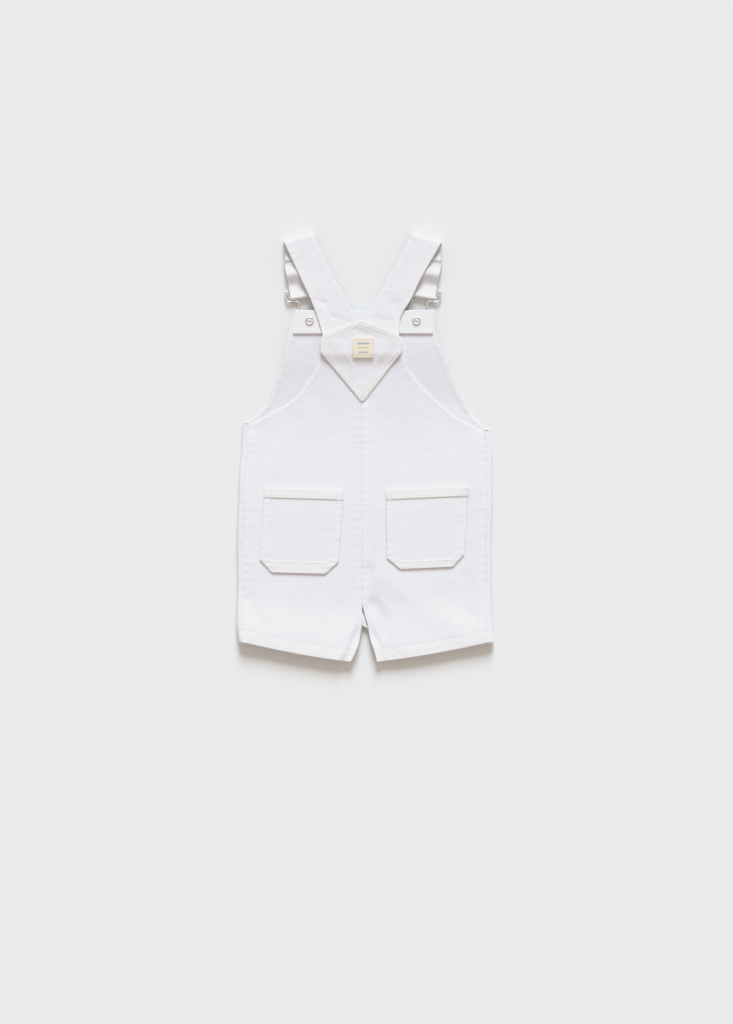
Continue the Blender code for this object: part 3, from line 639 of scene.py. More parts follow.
# The largest soft folds, which the CAD solids have too: a line, how wide, and how high or deep
FOLDS = table("x0 y0 x1 y1 width height", [
    (3, -130, 6, -165, 7, -0.9), (8, -166, 16, -176, 7, -0.8), (22, -140, 110, -200, 14, 0.7),
    (18, -186, 26, -220, 8, -0.9), (-122, -160, -116, -176, 7, -0.9), (108, -60, 100, -160, 11, -0.7),
    (96, -170, 110, -176, 8, -0.6), (-60, 30, -95, -20, 16, 0.5), (45, 40, 80, -10, 18, 0.4),
])

# Smaller creases, each in its own size
BACK_CREASES = table("x0 y0 x1 y1 width height", [
    (-14, -150, -34, -176, 5, -0.18), (-6, -164, -20, -196, 4, 0.16), (12, -156, 26, -172, 5, 0.22),
    (30, -190, 44, -214, 5, 0.16), (-100, -176, -70, -188, 7, 0.14), (-126, -110, -112, -126, 6, 0.16),
    (-86, -150, -44, -162, 10, 0.18), (112, -128, 122, -150, 6, 0.18), (60, -150, 90, -140, 9, 0.14),
    (-104, 10, -78, 26, 8, -0.16), (-40, 60, -56, 36, 7, 0.14), (96, 6, 78, 24, 8, -0.15),
    (36, 62, 52, 40, 7, 0.13), (14, -20, 40, -34, 12, 0.12), (-30, -8, -66, -28, 14, 0.12),
    (-122, -30, -116, -74, 6, -0.14), (118, -10, 112, -44, 6, -0.14), (-20, 20, 22, 12, 16, 0.10),
])


def back_top(x, y):
    """Height of the back's outer face, as the pieces that lie on it need it.

    It rises towards the hem and the sides, is pressed flat at the inner legs, and carries the large folds.
    """
    left = x < CENTRE_SEAM
    seam = np.where(left, side_reach("left", y) + x, side_reach("right", y) - x) - SIDE_SEAM_INSET
    inner = np.where(left, inner_edge("left", y) - x, x - inner_edge("right", y))
    hem_line = np.where(left, row_level("left", HEM, x), row_level("right", HEM, x))
    rise = np.where(left, body_rise("left", y, y - hem_line), body_rise("right", y, y - hem_line))
    near_side = (1 - ease(seam / 24)) * ease((20 - y) / 12)
    upper = YOKE_DROP * ease((y - 40) / 40)
    top = BODY_TOP + rise + SIDE_RISE * near_side - upper + creases(FOLDS, x, y)
    turned_hem = 2 * (HEM_WALL - CLOTH) * (1 - ease((y - hem_line - HEM_DEPTH) / 16))
    pressed = 2 * CLOTH + GAP + turned_hem + leg_lift(y, inner)
    leg = ease((CROTCH - 6 - y) / 16) * (1 - ease(inner / mix(6, 14, ease((CROTCH - y) / 45))))
    return mix(np.maximum(top, pressed + GAP), pressed, leg) + lift(x, y)


def back_edge(side, y):
    """Across the garment, where a back panel ends: at the side seam, and above it at the armhole."""
    shape = OUTLINE[side]
    seam = side_reach(side, y) - SIDE_SEAM_INSET - SEWN
    armhole = through(y, shape["armhole"]["level"], shape["armhole"]["reach"])
    return shape["sign"] * np.where(y < shape["armhole_base"], seam, np.minimum(seam, armhole))


def back_face(side, x, y):
    """Height of a back panel's outer face with its seams, hem, turned armhole edge and small creases."""
    inner = np.abs(x - inner_edge(side, y))
    outer = np.abs(back_edge(side, y) - x)
    armhole = ease((y - OUTLINE[side]["armhole_base"] + 1) / 5)
    face = back_top(x, y) + creases(BACK_CREASES, x, y) + hem_relief(side, x, y)
    arm = turned(outer, EDGE_TURN, 0.13) + groove(outer - EDGE_TURN + 1, 0.10, 0.9)
    arm = arm - ARMHOLE_DROP * (1 - ease(outer / 7)) + pull_marks(y - 0.8 * np.abs(x), outer - 3, 8.5, 0.08, 5)
    side_seam = pull_marks(y + 4, outer, 9.0, 0.14, 7) + groove(outer - 1.5, 0.12, 0.8)
    face = face + arm * armhole + side_seam * (1 - armhole)
    centre = ease((y - CROTCH) / 8) * ease((PATCH_FOOT - y) / 6)
    fell = turned(inner, FELL_WIDTH, FELL_RISE) * (side == "right")
    fell = fell + pull_marks(y, inner - 3, 7.8, 0.09, 5) + groove(inner - 1.4, 0.10, 0.6) * (side == "right")
    legs = ease((CROTCH - y) / 8)
    return face + fell * centre + rounded(outer, mix(0.12, 0.4, armhole)) + rounded(inner, mix(0.12, 0.4, legs))


for side, sign in (("left", -1.0), ("right", 1.0)):
    base = OUTLINE[side]["armhole_base"]
    rows_up = np.concatenate([HEM + np.array([0, 0.15, 0.4, 0.8, 1.4]), np.arange(HEM + 2.2, base, 1.3),
                              np.arange(base, BACK_TOP - 1, 1.1), [BACK_TOP - 0.5, BACK_TOP]])[:, None]
    outer = back_edge(side, rows_up)
    inner = inner_edge(side, rows_up - (HEM - INNER_HEM) * hem_share(rows_up))
    near = np.array([[0, 0.12, 0.3, 0.6, 1.0]])
    edge = np.array([[1.5, 2.2, 2.9, 3.6, 4.3, 5.0, 5.6, 6.2, 6.8, 7.6]])
    even = mix(inner + sign * 8.6, outer - sign * 8.6, np.linspace(0, 1, 84)[None])
    x = np.concatenate([inner + sign * near, inner + sign * edge, even, outer - sign * edge[:, ::-1],
                        outer - sign * near[:, ::-1]], axis=1)
    y = row_level(side, rows_up, x)
    under = back_top(x, y) - mix(HEM_WALL, CLOTH, ease((rows_up - HEM - HEM_DEPTH) / 1.5))
    above = y - row_level(side, HEM, x)
    worn = np.maximum.reduce([
        0.85 * ease((HEM_DEPTH + 1 - above) / 2.5),
        0.55 * ease((EDGE_TURN + 1 - np.abs(outer - x)) / 2.5) * np.ones_like(x),
        0.8 * ease((FELL_WIDTH + 1 - np.abs(x - inner)) / 1.5) * (side == "right") * ease((y - CROTCH) / 6),
        0.45 * ease((3 - np.abs(x - inner)) / 3)])
    panel = cloth_piece("back_panel_" + side, stack(x, y, back_face(side, x, y)), stack(x, y, under), (x, y),
                        worn, denim)
    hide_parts("back_" + side)

back_rows = []
for side, sign in (("left", -1.0), ("right", 1.0)):
    x = np.linspace(inner_edge(side, INNER_HEM) + sign * 1.5, back_edge(side, HEM) - sign * 1.0, 100)
    y = row_level(side, HEM, x) + HEM_DEPTH
    back_rows.append(stack(x, y, back_face(side, x, y)))
    y = np.linspace(OUTLINE[side]["armhole_base"] + 3, BACK_TOP - 12, 110)
    x = back_edge(side, y) - sign * (EDGE_TURN - 1)
    back_rows.append(stack(x, y, back_face(side, x, y)))
for inset in (1.4, FELL_WIDTH - 1.4):
    y = np.linspace(CROTCH + 5, PATCH_FOOT - 1, 160)
    x = inner_edge("right", y) + inset
    back_rows.append(stack(x, y, back_face("right", x, y)))
sew("back_stitching", back_rows)


# The two back pockets, laid on the back panels.
# Each is cut from the denim with its edges turned under and its lower corners clipped, has a turned band
# along its mouth, and is sewn down by two rows round its edge and a bar of close stitches at each end.

POCKET_BAND = 10.5
POCKET_BAND_RISE = 0.8
BAR_TACK = 9.0

# Outlines, with how far below the mouth each row lies; border is the turned edge's width at the sides and foot
POCKETS = {
    "left": {
        "top": -42.8, "tilt": -0.03, "border": (8.0, 12.6),
        "rows": table("drop low high", [
            (0, -106.6, -23.1), (10.5, -106.9, -23.3), (11.5, -107, -23.4), (43, -108.6, -26),
            (75.6, -110.8, -28.6), (87, -100.3, -40.4), (88.4, -97.5, -43)]),
    },
    "right": {
        "top": -45.0, "tilt": 0.045, "border": (6.6, 8.8),
        "rows": table("drop low high", [
            (0, 21.5, 108.2), (10.5, 21.6, 107.6), (11.5, 21.7, 107.5), (41, 22.1, 105.5), (71.5, 22.6, 103.4),
            (82.6, 34.6, 92.9), (83.8, 37, 90.5)]),
    },
}


def inward(x, y, corners):
    """Distance inside each edge of a convex outline whose corners run anticlockwise, one layer an edge."""
    way = np.roll(corners, -1, axis=0) - corners
    way = way / np.linalg.norm(way, axis=1, keepdims=True)
    spread = (slice(None),) + (None,) * np.ndim(x)
    across = (np.asarray(y)[None] - corners[:, 1][spread]) * way[:, 0][spread]
    return across - (np.asarray(x)[None] - corners[:, 0][spread]) * way[:, 1][spread]


def inset(corners, amounts):
    """The outline moved inwards: each new corner is where its two edges, moved by their amounts, cross."""
    way = np.roll(corners, -1, axis=0) - corners
    way = way / np.linalg.norm(way, axis=1, keepdims=True)
    normal = np.stack([-way[:, 1], way[:, 0]], -1)
    level = np.sum(normal * corners, axis=1) + amounts
    pairs = np.stack([np.roll(normal, 1, axis=0), normal], axis=1)
    return np.linalg.solve(pairs, np.stack([np.roll(level, 1), level], -1)[..., None])[..., 0]


def pocket_corners(side):
    """The pocket's outline: foot, right clip, right side, mouth, left side, left clip."""
    spec = POCKETS[side]
    rows = spec["rows"]
    order = [(-1, "low"), (-1, "high"), (-3, "high"), (0, "high"), (0, "low"), (-3, "low")]
    x = np.array([rows[edge][k] for k, edge in order])
    drop = np.array([rows["drop"][k] for k, _ in order])
    return np.stack([x, spec["top"] + spec["tilt"] * (x - rows["low"][0]) - drop], -1)


def pocket_face(side, x, y):
    """Height of a pocket's outer face: its band, the turned border inside the other edges, and pull marks."""
    spec = POCKETS[side]
    sides, foot = spec["border"]
    away = inward(x, y, pocket_corners(side))
    face = back_top(x, y) + LAID_GAP + CLOTH
    mouth = away[3]
    low_edges = np.minimum.reduce([away[1], away[2], away[4], away[5]])
    border = np.maximum(turned(low_edges, sides, 0.28), turned(away[0], foot, 0.28))
    band = ease((POCKET_BAND - mouth) / 0.8)
    face = face + mix(border, POCKET_BAND_RISE, band)
    face = face + pull_marks(x, away[0] - 4, 6.4, 0.13, 6) + pull_marks(y, low_edges - 3, 7.4, 0.10, 5)
    face = face + pull_marks(x + 11, mouth - 6, 8.1, 0.08, 6)
    rim = np.minimum.reduce(list(away))
    seams = groove(rim - 1.7, 0.12, 0.6) + groove(mouth - POCKET_BAND + 1.8, 0.14, 0.6)
    return face + seams * (rim > 0.8) + rounded(np.clip(rim, 0, None), 0.45)


pocket_rows = []
tack_starts, tack_ends = [], []
for side in ("left", "right"):
    spec = POCKETS[side]
    rows = spec["rows"]
    deep = rows["drop"][-1]
    drop = np.unique(np.concatenate([steps(0, deep, 1.05), rows["drop"][-3:-1],
                                     POCKET_BAND + np.linspace(-1, 1, 5)]))[:, None]
    low = np.interp(drop, rows["drop"], rows["low"])
    high = np.interp(drop, rows["drop"], rows["high"])
    x = mix(low, high, steps(0, 85, 1.05)[None] / 85)
    y = spec["top"] + spec["tilt"] * (x - rows["low"][0]) - drop
    corners = pocket_corners(side)
    away = inward(x, y, corners)
    worn = np.maximum.reduce([0.75 * ease((spec["border"][1] + 1 - away[0]) / 2), 0.8 * ease((12 - away[3]) / 2),
                              0.6 * ease((spec["border"][0] + 1 - np.minimum(away[2], away[4])) / 2)])
    pocket = cloth_piece("pocket_" + side, stack(x, y, pocket_face(side, x, y)),
                         stack(x, y, back_top(x, y) + LAID_GAP), (x, y), worn, denim)
    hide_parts("back_pocket_" + side)

    sides, foot = spec["border"]
    for share in (0, 1):
        at_foot, at_side = mix(1.7, foot - 1.2, share), mix(1.7, sides - 1.2, share)
        amounts = np.array([at_foot, at_side, at_side, 0.6, at_side, at_side])
        ring = inset(corners, amounts)[[4, 5, 0, 1, 2, 3]]
        way = np.linspace(0, 5, 260)
        x, y = np.interp(way, np.arange(6), ring[:, 0]), np.interp(way, np.arange(6), ring[:, 1])
        pocket_rows.append(stack(x, y, pocket_face(side, x, y)))
    for depth in (1.9, POCKET_BAND - 1.8):
        x = np.linspace(corners[4, 0] + 1.2, corners[3, 0] - 1.2, 120)
        y = spec["top"] + spec["tilt"] * (x - corners[4, 0]) - depth
        pocket_rows.append(stack(x, y, pocket_face(side, x, y)))
    for end, sign in ((corners[4, 0], 1.0), (corners[3, 0], -1.0)):
        y = spec["top"] + spec["tilt"] * (end - corners[4, 0]) - 1.2 - np.linspace(0, BAR_TACK, 17)
        for at, far in ((1.0, 2.8), (sides - 2.2, sides - 0.4)):
            x0, x1 = end + sign * at + 0 * y, end + sign * far + 0 * y
            tack_starts.append(stack(x0, y, pocket_face(side, x0, y)))
            tack_ends.append(stack(x1, y - 0.25, pocket_face(side, x1, y)))
sew("pocket_stitching", pocket_rows)
tack_starts, tack_ends = np.concatenate(tack_starts), np.concatenate(tack_ends)
tack_ups = np.tile([0.0, 0.0, 1.0], (len(tack_starts), 1))
capsules("pocket_bar_tacks", tack_starts, tack_ends, tack_ups, TACK_THREAD)


# The two straps, each one long folded strip of the denim.
# A strap starts under the patch, runs up over the bib's corner, folds under at the shoulder and comes down to
# its hook, goes round the hook's bar and back through its slider. Its edges are turned in and topstitched.

RUN_HEIGHT = 8.0
STRAP_WALL = 1.4
STRAP_END = 118.0
RETURN_LENGTH = 37.0
FOLD_RADIUS = (RUN_HEIGHT - STRAP_WALL / 2) / 2
WIRE = 0.9
CLIP_REACH = 27.0
BUTTON_LEVEL = 132.6
STRAP_MEET = -2.6

STRAPS = {
    "left": {
        "shoulder": (-69.1, 217.0), "lean": 24.5, "button": -58.8, "clip_turn": 9.0,
        "edges": table("along outer inner", [
            (0, 15.7, 15.7), (41, 15.4, 15.7), (66, 15.4, 17.4), (86, 17, 19), (100, 19, 19), (118, 21, 19)]),
    },
    "right": {
        "shoulder": (63.2, 216.7), "lean": -28.5, "button": 53.6, "clip_turn": -9.0,
        "edges": table("along outer inner", [
            (0, 15.3, 15.5), (44, 14.7, 15.5), (60, 15.8, 15.8), (86, 16, 15.8), (98, 21.5, 16),
            (108, 26.5, 16), (118, 27, 16)]),
    },
}

# Height of the strap's two lower layers over the bar's end of the run
WEAVE = table("reach main returned", [
    (0, 0, 0), (8, 0, -2), (15, 0, -2), (19, 0, -0.3), (23, 1.6, 1.5), (26, 3.4, 1.75), (33, 0, 0.1),
    (40, 3.4, 0.1), (47, 0, 0)])

# Creases that the two back runs take where they bend over the bib's top edge
STRAP_CREASES = table("x0 y0 x1 y1 width height", [
    (-52, 153, -43, 151, 2.6, -0.30), (-43, 151, -35, 137, 2.8, -0.34), (-35, 137, -16, 131, 2.6, -0.28),
    (32, 150, 41, 124, 5.5, -0.42), (12, 136, 28, 131.5, 2.8, -0.28), (-64, 196, -58, 176, 6, -0.16),
    (52, 200, 44, 176, 6, -0.14), (-50, 178, -46, 164, 5, 0.16), (48, 172, 36, 160, 6, 0.16),
])


def run_height(x, y):
    """Middle of the strap's back run: it lies on the back panel at its end and on the bib's corner above."""
    seated = back_top(x, y) + GAP + LAID_GAP + STRAP_WALL / 2
    return mix(seated, RUN_HEIGHT, ease((y - BACK_TOP) / 12))


def fold_under(points, corner, line, radius):
    """Bends flat cloth down and back round a line in its plane.

    With d the distance past the line, a = d / radius up to pi, and z the height off the cloth's middle,
    a point goes to (radius + z) sin a past the line and (radius + z) cos a - radius up.
    """
    ahead = np.array([line[0], line[1], 0.0])
    past = np.array([-line[1], line[0], 0.0])
    offset = points - np.array([corner[0], corner[1], 0.0])
    d = offset @ past
    z = points[..., 2]
    angle = np.clip(d / radius, 0, pi)
    out = np.minimum(d, 0) + (radius + z) * np.sin(angle) - np.maximum(d - pi * radius, 0)
    flat = np.array([corner[0], corner[1], 0.0]) + (offset @ ahead)[..., None] * ahead + out[..., None] * past
    flat[..., 2] = (radius + z) * np.cos(angle) - radius
    return flat


def strap_frame(side):
    """How a strap and its hook lie in plan.

    Gives the shoulder, the way down the back run, the shoulder fold's own line and the way past it, the
    middle of the hook's bar, and where that lies on the strip before it is folded. The fold is tilted so
    that the middle of the folded strip runs to the middle of the bar.
    """
    spec = STRAPS[side]
    turn = radians(spec["clip_turn"])
    bar = np.array([spec["button"] - CLIP_REACH * sin(turn), BUTTON_LEVEL + CLIP_REACH * cos(turn)])
    shoulder = np.array(spec["shoulder"])
    gone = bar - shoulder
    lean = radians(spec["lean"])
    back = np.array([sin(lean), -cos(lean)])
    tilt = (lean + np.arctan2(gone[0], -gone[1])) / 2
    for _ in range(8):
        line = np.array([cos(tilt), sin(tilt)])
        past = np.array([-line[1], line[0]])
        flat_bar = line * (gone @ line) + past * (pi * FOLD_RADIUS - gone @ past)
        tilt -= (flat_bar[0] * back[1] - flat_bar[1] * back[0]) / (2 * np.linalg.norm(gone))
    return shoulder, back, line, past, bar, shoulder + flat_bar


def strap_reach(side, s):
    """How far the strap's outer and inner edges lie from its middle, s along from the shoulder."""
    spec = STRAPS[side]
    shoulder, back, _, _, _, _ = strap_frame(side)
    sign = OUTLINE[side]["sign"]
    across = -sign * back[1]
    edges = spec["edges"]
    outer = through(s, edges["along"], edges["outer"])
    inner = through(s, edges["along"], edges["inner"])
    meet = STRAP_MEET + sign * 0.16
    limit = (meet - shoulder[0] - s * back[0]) / across
    return outer, np.where(s > 0, np.minimum(inner, -limit), inner)


def strap_sheet(side, s, share, off):
    """Points of a strap: s along from the shoulder, share across from its outer edge, off from its middle face.

    The flat strip is raised over the weave of its end, bent round the hook's bar, and then at the shoulder.
    """
    spec = STRAPS[side]
    sign = OUTLINE[side]["sign"]
    shoulder, back, line, past, _, flat_bar = strap_frame(side)
    radius = WIRE + LAID_GAP + STRAP_WALL / 2
    turn = radians(spec["clip_turn"])
    crosswise = np.array([cos(turn), sin(turn)])
    bar_line = line * (crosswise @ line) - past * (crosswise @ past)
    side_way = sign * np.array([-back[1], back[0]])
    end = (flat_bar - shoulder) @ back
    outer, inner = strap_reach(side, s)
    w = mix(outer, -inner, share)
    x = shoulder[0] + s * back[0] + w * side_way[0]
    y = shoulder[1] + s * back[1] + w * side_way[1]
    main_rise = np.maximum(through(s - end, WEAVE["reach"], WEAVE["main"]), 0)
    back_rise = through(end - pi * radius - s, WEAVE["reach"], WEAVE["returned"])
    settle = np.where(s > 5, run_height(x, y) - RUN_HEIGHT, 0)
    points = stack(x, y, settle - main_rise + back_rise + off)
    points = fold_under(points, flat_bar, bar_line, radius)
    points = fold_under(points, shoulder, line, FOLD_RADIUS)
    points[..., 2] += RUN_HEIGHT
    return points, x, y


def strap_relief(side, s, share):
    """What the strap's outer face gains: turned edges, stitch lines, pull marks, creases and a rounded rim."""
    outer, inner = strap_reach(side, s)
    width = outer + inner
    near, far = width * share, width * (1 - share)
    rim = np.minimum(near, far)
    face = turned(rim, 6.4, 0.10) + groove(rim - 6.0, 0.10, 0.7) + groove(rim - 1.7, 0.05, 0.5)
    face = face + pull_marks(s, near - 3, 8.0, 0.08, 4) + pull_marks(s + 5, far - 3, 8.6, 0.09, 4)
    _, x, y = strap_sheet(side, s, share, 0.0)
    return face + creases(STRAP_CREASES, x, y) * (s > 0) + rounded(rim, 0.5)


strap_rows = {}
for side in ("left", "right"):
    shoulder, back, _, _, _, flat_bar = strap_frame(side)
    end = (flat_bar - shoulder) @ back
    loop = pi * (WIRE + LAID_GAP + STRAP_WALL / 2)
    s = np.concatenate([
        STRAP_END - np.array([0, 0.3, 0.8]), np.linspace(STRAP_END - 1.6, 5, 92), np.linspace(4.4, -17, 44),
        np.linspace(-18, end + 1, int((-19 - end) / 1.0)), end - loop * np.linspace(0, 1, 12),
        end - loop - np.linspace(1, RETURN_LENGTH - 1.2, 34),
        end - loop - RETURN_LENGTH + np.array([0.7, 0.3, 0])])
    s = s[:, None]
    share = (steps(0, 32, 1.0) / 32)[None]
    half_wall = STRAP_WALL / 2
    relief = strap_relief(side, s, share)
    outside, _, _ = strap_sheet(side, s, share, half_wall + relief)
    inside, _, _ = strap_sheet(side, s, share, -half_wall + 0 * relief)
    outer, inner = strap_reach(side, s)
    rim = (outer + inner) * np.minimum(share, 1 - share)
    worn = 0.25 + 0.5 * ease((7 - rim) / 2)
    grain = ((outer + inner) * share, s + 0 * share)
    strap = cloth_piece("shoulder_strap_" + side, outside, inside, grain, worn, denim)
    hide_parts("strap_" + side)
    strap_rows[side] = (STRAP_END - 22, end - loop - RETURN_LENGTH + 3)

strap_starts, strap_ends, strap_ups = [], [], []
for side in ("left", "right"):
    first, last = strap_rows[side]
    s = np.linspace(first, last, 500)
    outer, inner = strap_reach(side, s)
    for inset_by in (1.7, 6.0):
        for share in (inset_by / (outer + inner), 1 - inset_by / (outer + inner)):
            level = STRAP_WALL / 2 + strap_relief(side, s, share)
            path, _, _ = strap_sheet(side, s, share, level)
            raised, _, _ = strap_sheet(side, s, share, level + 0.5)
            starts, ends = along(path)
            nearest = np.argmin(np.linalg.norm(path[None] - starts[:, None], axis=2), axis=1)
            strap_starts.append(starts)
            strap_ends.append(ends)
            strap_ups.append((raised - path)[nearest] / 0.5)
capsules("strap_stitching", np.concatenate(strap_starts), np.concatenate(strap_ends), np.concatenate(strap_ups))


# The hooks: each is one bent wire, with a bar for the strap, two ears beside it and a loop round the button.
# They and the sliders and buttons are steel with a bright nickel plate gone slightly dull.

# Half of the hook, from the bottom of its loop round the button up to the middle of its bar
HOOK = table("across up", [
    (0, -4.2), (2.97, -2.97), (4.2, 0), (5.2, 4), (8, 8.5), (9.6, 13), (8.6, 18), (8.0, 20.8), (9.6, 22.6),
    (14.5, 23.0), (19.0, 23.8), (20.7, 26.5), (20.8, 32), (19.2, 34.6), (17.6, 32.4), (17.5, 28.6), (16.1, 27.0),
    (8, 27.0), (0, 27.0)])

# Nickel-plated steel: drawn and stamped, barrel-plated. It gives the eye a warm silver with a soft, slightly
# clouded shine and fine handling scratches.
nickel = bpy.data.materials.new("nickel-plated steel")
nickel.use_nodes = True
tree = nickel.node_tree
shader = tree.nodes["Principled BSDF"]
metal_place = add(tree, "TexCoord")
clouds = add(tree, "TexNoise", {"Scale": 260.0, "Detail": 3.0}, {"Vector": metal_place.outputs["Object"]})
drawn = add(tree, "Mapping", {"Scale": (1.0, 0.08, 1.0), "Rotation": (0, 0, 0.4)},
            {"Vector": metal_place.outputs["Object"]})
scratches = add(tree, "TexNoise", {"Scale": 2600.0, "Detail": 2.0}, {"Vector": drawn.outputs["Vector"]})
metal_bump = add(tree, "Bump", {"Strength": 0.25, "Distance": 0.00006}, {"Height": scratches.outputs["Fac"]})
dull = add(tree, "MapRange", {"To Min": 0.36, "To Max": 0.52}, {"Value": clouds.outputs["Fac"]})
plate = add(tree, "Mix", {6: linear("dcdbda"), 7: linear("f2f1f0")}, {"Factor": clouds.outputs["Fac"]},
            data_type="RGBA")
tree.links.new(plate.outputs[2], shader.inputs["Base Color"])
tree.links.new(dull.outputs["Result"], shader.inputs["Roughness"])
tree.links.new(metal_bump.outputs["Normal"], shader.inputs["Normal"])
shader.inputs["Metallic"].default_value = 0.85


def placed(points, middle, turn):
    """Points turned about the upright by an angle and moved to a middle on the garment."""
    x = points[..., 0] * cos(turn) - points[..., 1] * sin(turn) + middle[0]
    y = points[..., 0] * sin(turn) + points[..., 1] * cos(turn) + middle[1]
    return stack(x, y, points[..., 2])


def swept(path, profile, closed):
    """A profile carried along a path that runs nearly level, as points and quads.

    Each profile point is its first number across the path and its second upright. A closed path joins its
    last ring to its first, and an open one is shut at both ends by shrunken rings.
    """
    ahead = np.roll(path, -1, axis=0) - np.roll(path, 1, axis=0)
    if not closed:
        ahead[0], ahead[-1] = path[1] - path[0], path[-1] - path[-2]
    level = np.stack([-ahead[:, 1], ahead[:, 0], 0 * ahead[:, 0]], -1)
    level = level / np.linalg.norm(level, axis=1, keepdims=True)
    upright = np.cross(ahead / np.linalg.norm(ahead, axis=1, keepdims=True), level)
    rings = path[:, None] + profile[None, :, :1] * level[:, None] + profile[None, :, 1:] * upright[:, None]
    if not closed:
        rings = np.concatenate([mix(path[:1, None], rings[:1], 0.02), rings,
                                mix(path[-1:, None], rings[-1:], 0.02)])
    count, sides = rings.shape[:2]
    index = np.arange(count * sides).reshape(count, sides)
    after = np.roll(index, -1, axis=0) if closed else index[1:]
    index = index if closed else index[:-1]
    quads = np.stack([index, np.roll(index, -1, axis=1), np.roll(after, -1, axis=1), after], -1).reshape(-1, 4)
    if not closed:
        lid = np.array([[0, 3, 2, 1]]) * sides // 4
        quads = np.concatenate([quads, lid, (count - 1) * sides + lid[:, ::-1]])
    return rings.reshape(-1, 3), quads


ring_turn = np.arange(12) * pi / 6
for side in ("left", "right"):
    across = np.concatenate([HOOK["across"], -HOOK["across"][-2:0:-1]])
    up = np.concatenate([HOOK["up"], HOOK["up"][-2:0:-1]])
    lap = np.arange(-3, len(across) + 4)
    at = np.arange(0, len(across), 0.25)
    across = through(at, lap.astype(float), across[lap % len(across)])
    up = through(at, lap.astype(float), up[lap % len(up)])
    height = mix(3.42, STRAP_WALL + LAID_GAP + WIRE, ease((up - 5) / 16))
    wire = WIRE * stack(np.cos(ring_turn), np.sin(ring_turn), 0)[:, :2]
    button = (STRAPS[side]["button"], BUTTON_LEVEL)
    path = placed(stack(across, up, height), button, radians(STRAPS[side]["clip_turn"]))
    hook = plain_piece("hook_" + side, *swept(path, wire, True), nickel)
    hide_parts("clip_" + side)


# The sliders, by which a strap's length is set: a flat stamped frame with a bar across its middle.

SLIDER_AT = 33.0
SLIDER_PITCH = 7.0
SLIDER_BAR = 1.6
SLIDER_HEIGHT = 2.35
SLIDER_HALF = 17.0
SLIDER_CORNER = 1.5


def rounded_bar(width, thick, count=12):
    """Section of a stamped bar: a squared oval, each half-axis times a cosine or sine to the power 0.5."""
    turn = np.arange(count) * 2 * pi / count + pi / count
    bend = lambda value: np.sign(value) * np.sqrt(np.abs(value))
    return np.stack([width / 2 * bend(np.cos(turn)), thick / 2 * bend(np.sin(turn))], -1)


for side in ("left", "right"):
    _, back, line, past, bar, _ = strap_frame(side)
    way = line * (back @ line) - past * (back @ past)
    spot = bar + way * SLIDER_AT
    turn = np.arctan2(-way[0], way[1])
    corner = np.linspace(0, pi / 2, 7)
    quarter = np.stack([SLIDER_HALF - SLIDER_CORNER + SLIDER_CORNER * np.cos(corner),
                        SLIDER_PITCH - SLIDER_CORNER + SLIDER_CORNER * np.sin(corner)], -1)
    quarters = [quarter, quarter[::-1] * (-1, 1), -quarter, quarter[::-1] * (1, -1)]
    plan = np.concatenate(quarters)
    ring = placed(stack(plan[:, 0], plan[:, 1], SLIDER_HEIGHT), spot, turn)
    middle = placed(stack(np.linspace(-SLIDER_HALF, SLIDER_HALF, 9), 0.0, SLIDER_HEIGHT), spot, turn)
    frame_points, frame_quads = swept(ring, rounded_bar(SLIDER_BAR, 1.0), True)
    bar_points, bar_quads = swept(middle, rounded_bar(SLIDER_BAR, 0.96), False)
    slide = plain_piece("strap_slider_" + side, np.concatenate([frame_points, bar_points]),
                        np.concatenate([frame_quads, bar_quads + len(frame_points)]), nickel)
    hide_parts("slider_" + side)


# The tack buttons: a domed head on the garment's outside, and the flat back of the tack on its inside.
# Each is stamped from sheet and hammered together through the bib and its facing.

# Profile from the head's middle on the surface, over its rim and neck, up to the tack's ringed back
BUTTON = table("radius height", [
    (0.01, 0.0), (6.4, 0.0), (7.4, 0.2), (7.9, 0.6), (8, 1.1), (7.8, 1.7), (7.2, 2.05), (3.2, 2.2), (3, 2.5),
    (3, 4.3), (1.5, 4.35), (1.5, 7.2), (4.2, 7.25), (4.5, 7.4), (4.5, 7.62), (4.2, 7.92), (3.7, 8.05),
    (3.2, 7.95), (2.8, 7.72), (1.6, 7.72), (1.2, 7.9), (0.7, 8.0), (0.01, 8.02)])

for side in ("left", "right"):
    turn = np.arange(48) * 2 * pi / 48
    radius, height = BUTTON["radius"][:, None], BUTTON["height"][:, None]
    rings = stack(radius * np.cos(turn) + STRAPS[side]["button"], radius * np.sin(turn) + BUTTON_LEVEL, height)
    index = np.arange(rings.shape[0] * 48).reshape(-1, 48)
    quads = np.stack([index[:-1], np.roll(index, -1, axis=1)[:-1], np.roll(index, -1, axis=1)[1:], index[1:]], -1)
    lids = np.array([[0, 36, 24, 12]])
    quads = np.concatenate([quads.reshape(-1, 4), lids, lids[:, ::-1] + index[-1, 0]])
    tack = plain_piece("tack_button_" + side, rings.reshape(-1, 3), quads, nickel)
    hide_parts("button_" + side)


# The patch: a diamond of the denim over the strap ends, with its side corners clipped.
# Its edges are turned under and sewn down by two rows, and the strap ends below show through as soft ridges.

PATCH = table("ends middle low high", [
    (49.2, 48.4, -6.0, -0.8), (60, 60, -14.6, 7.4), (72, 72, -24.8, 16.8), (82, 82, -33.2, 24.6),
    (88, 88, -38.2, 29.1), (94, 94, -43.2, 33.6), (99.5, 100, -47.2, 37.6), (104, 106.4, -47.3, 37.8),
    (109, 115, -47.2, 37.8), (114, 125.6, -46.6, 37), (118, 135.4, -44.6, 34.1)])
PATCH_CORNERS = np.array([(-3.4, 47.6), (37.9, 99.2), (37.6, 113), (34.1, 118), (-3.3, 133.2), (-44.6, 118),
                          (-47.0, 113), (-47.2, 99.2)])
PEAK_AT = 0.525
PEAK_ROUND = 0.02
PATCH_BORDER = 5.4

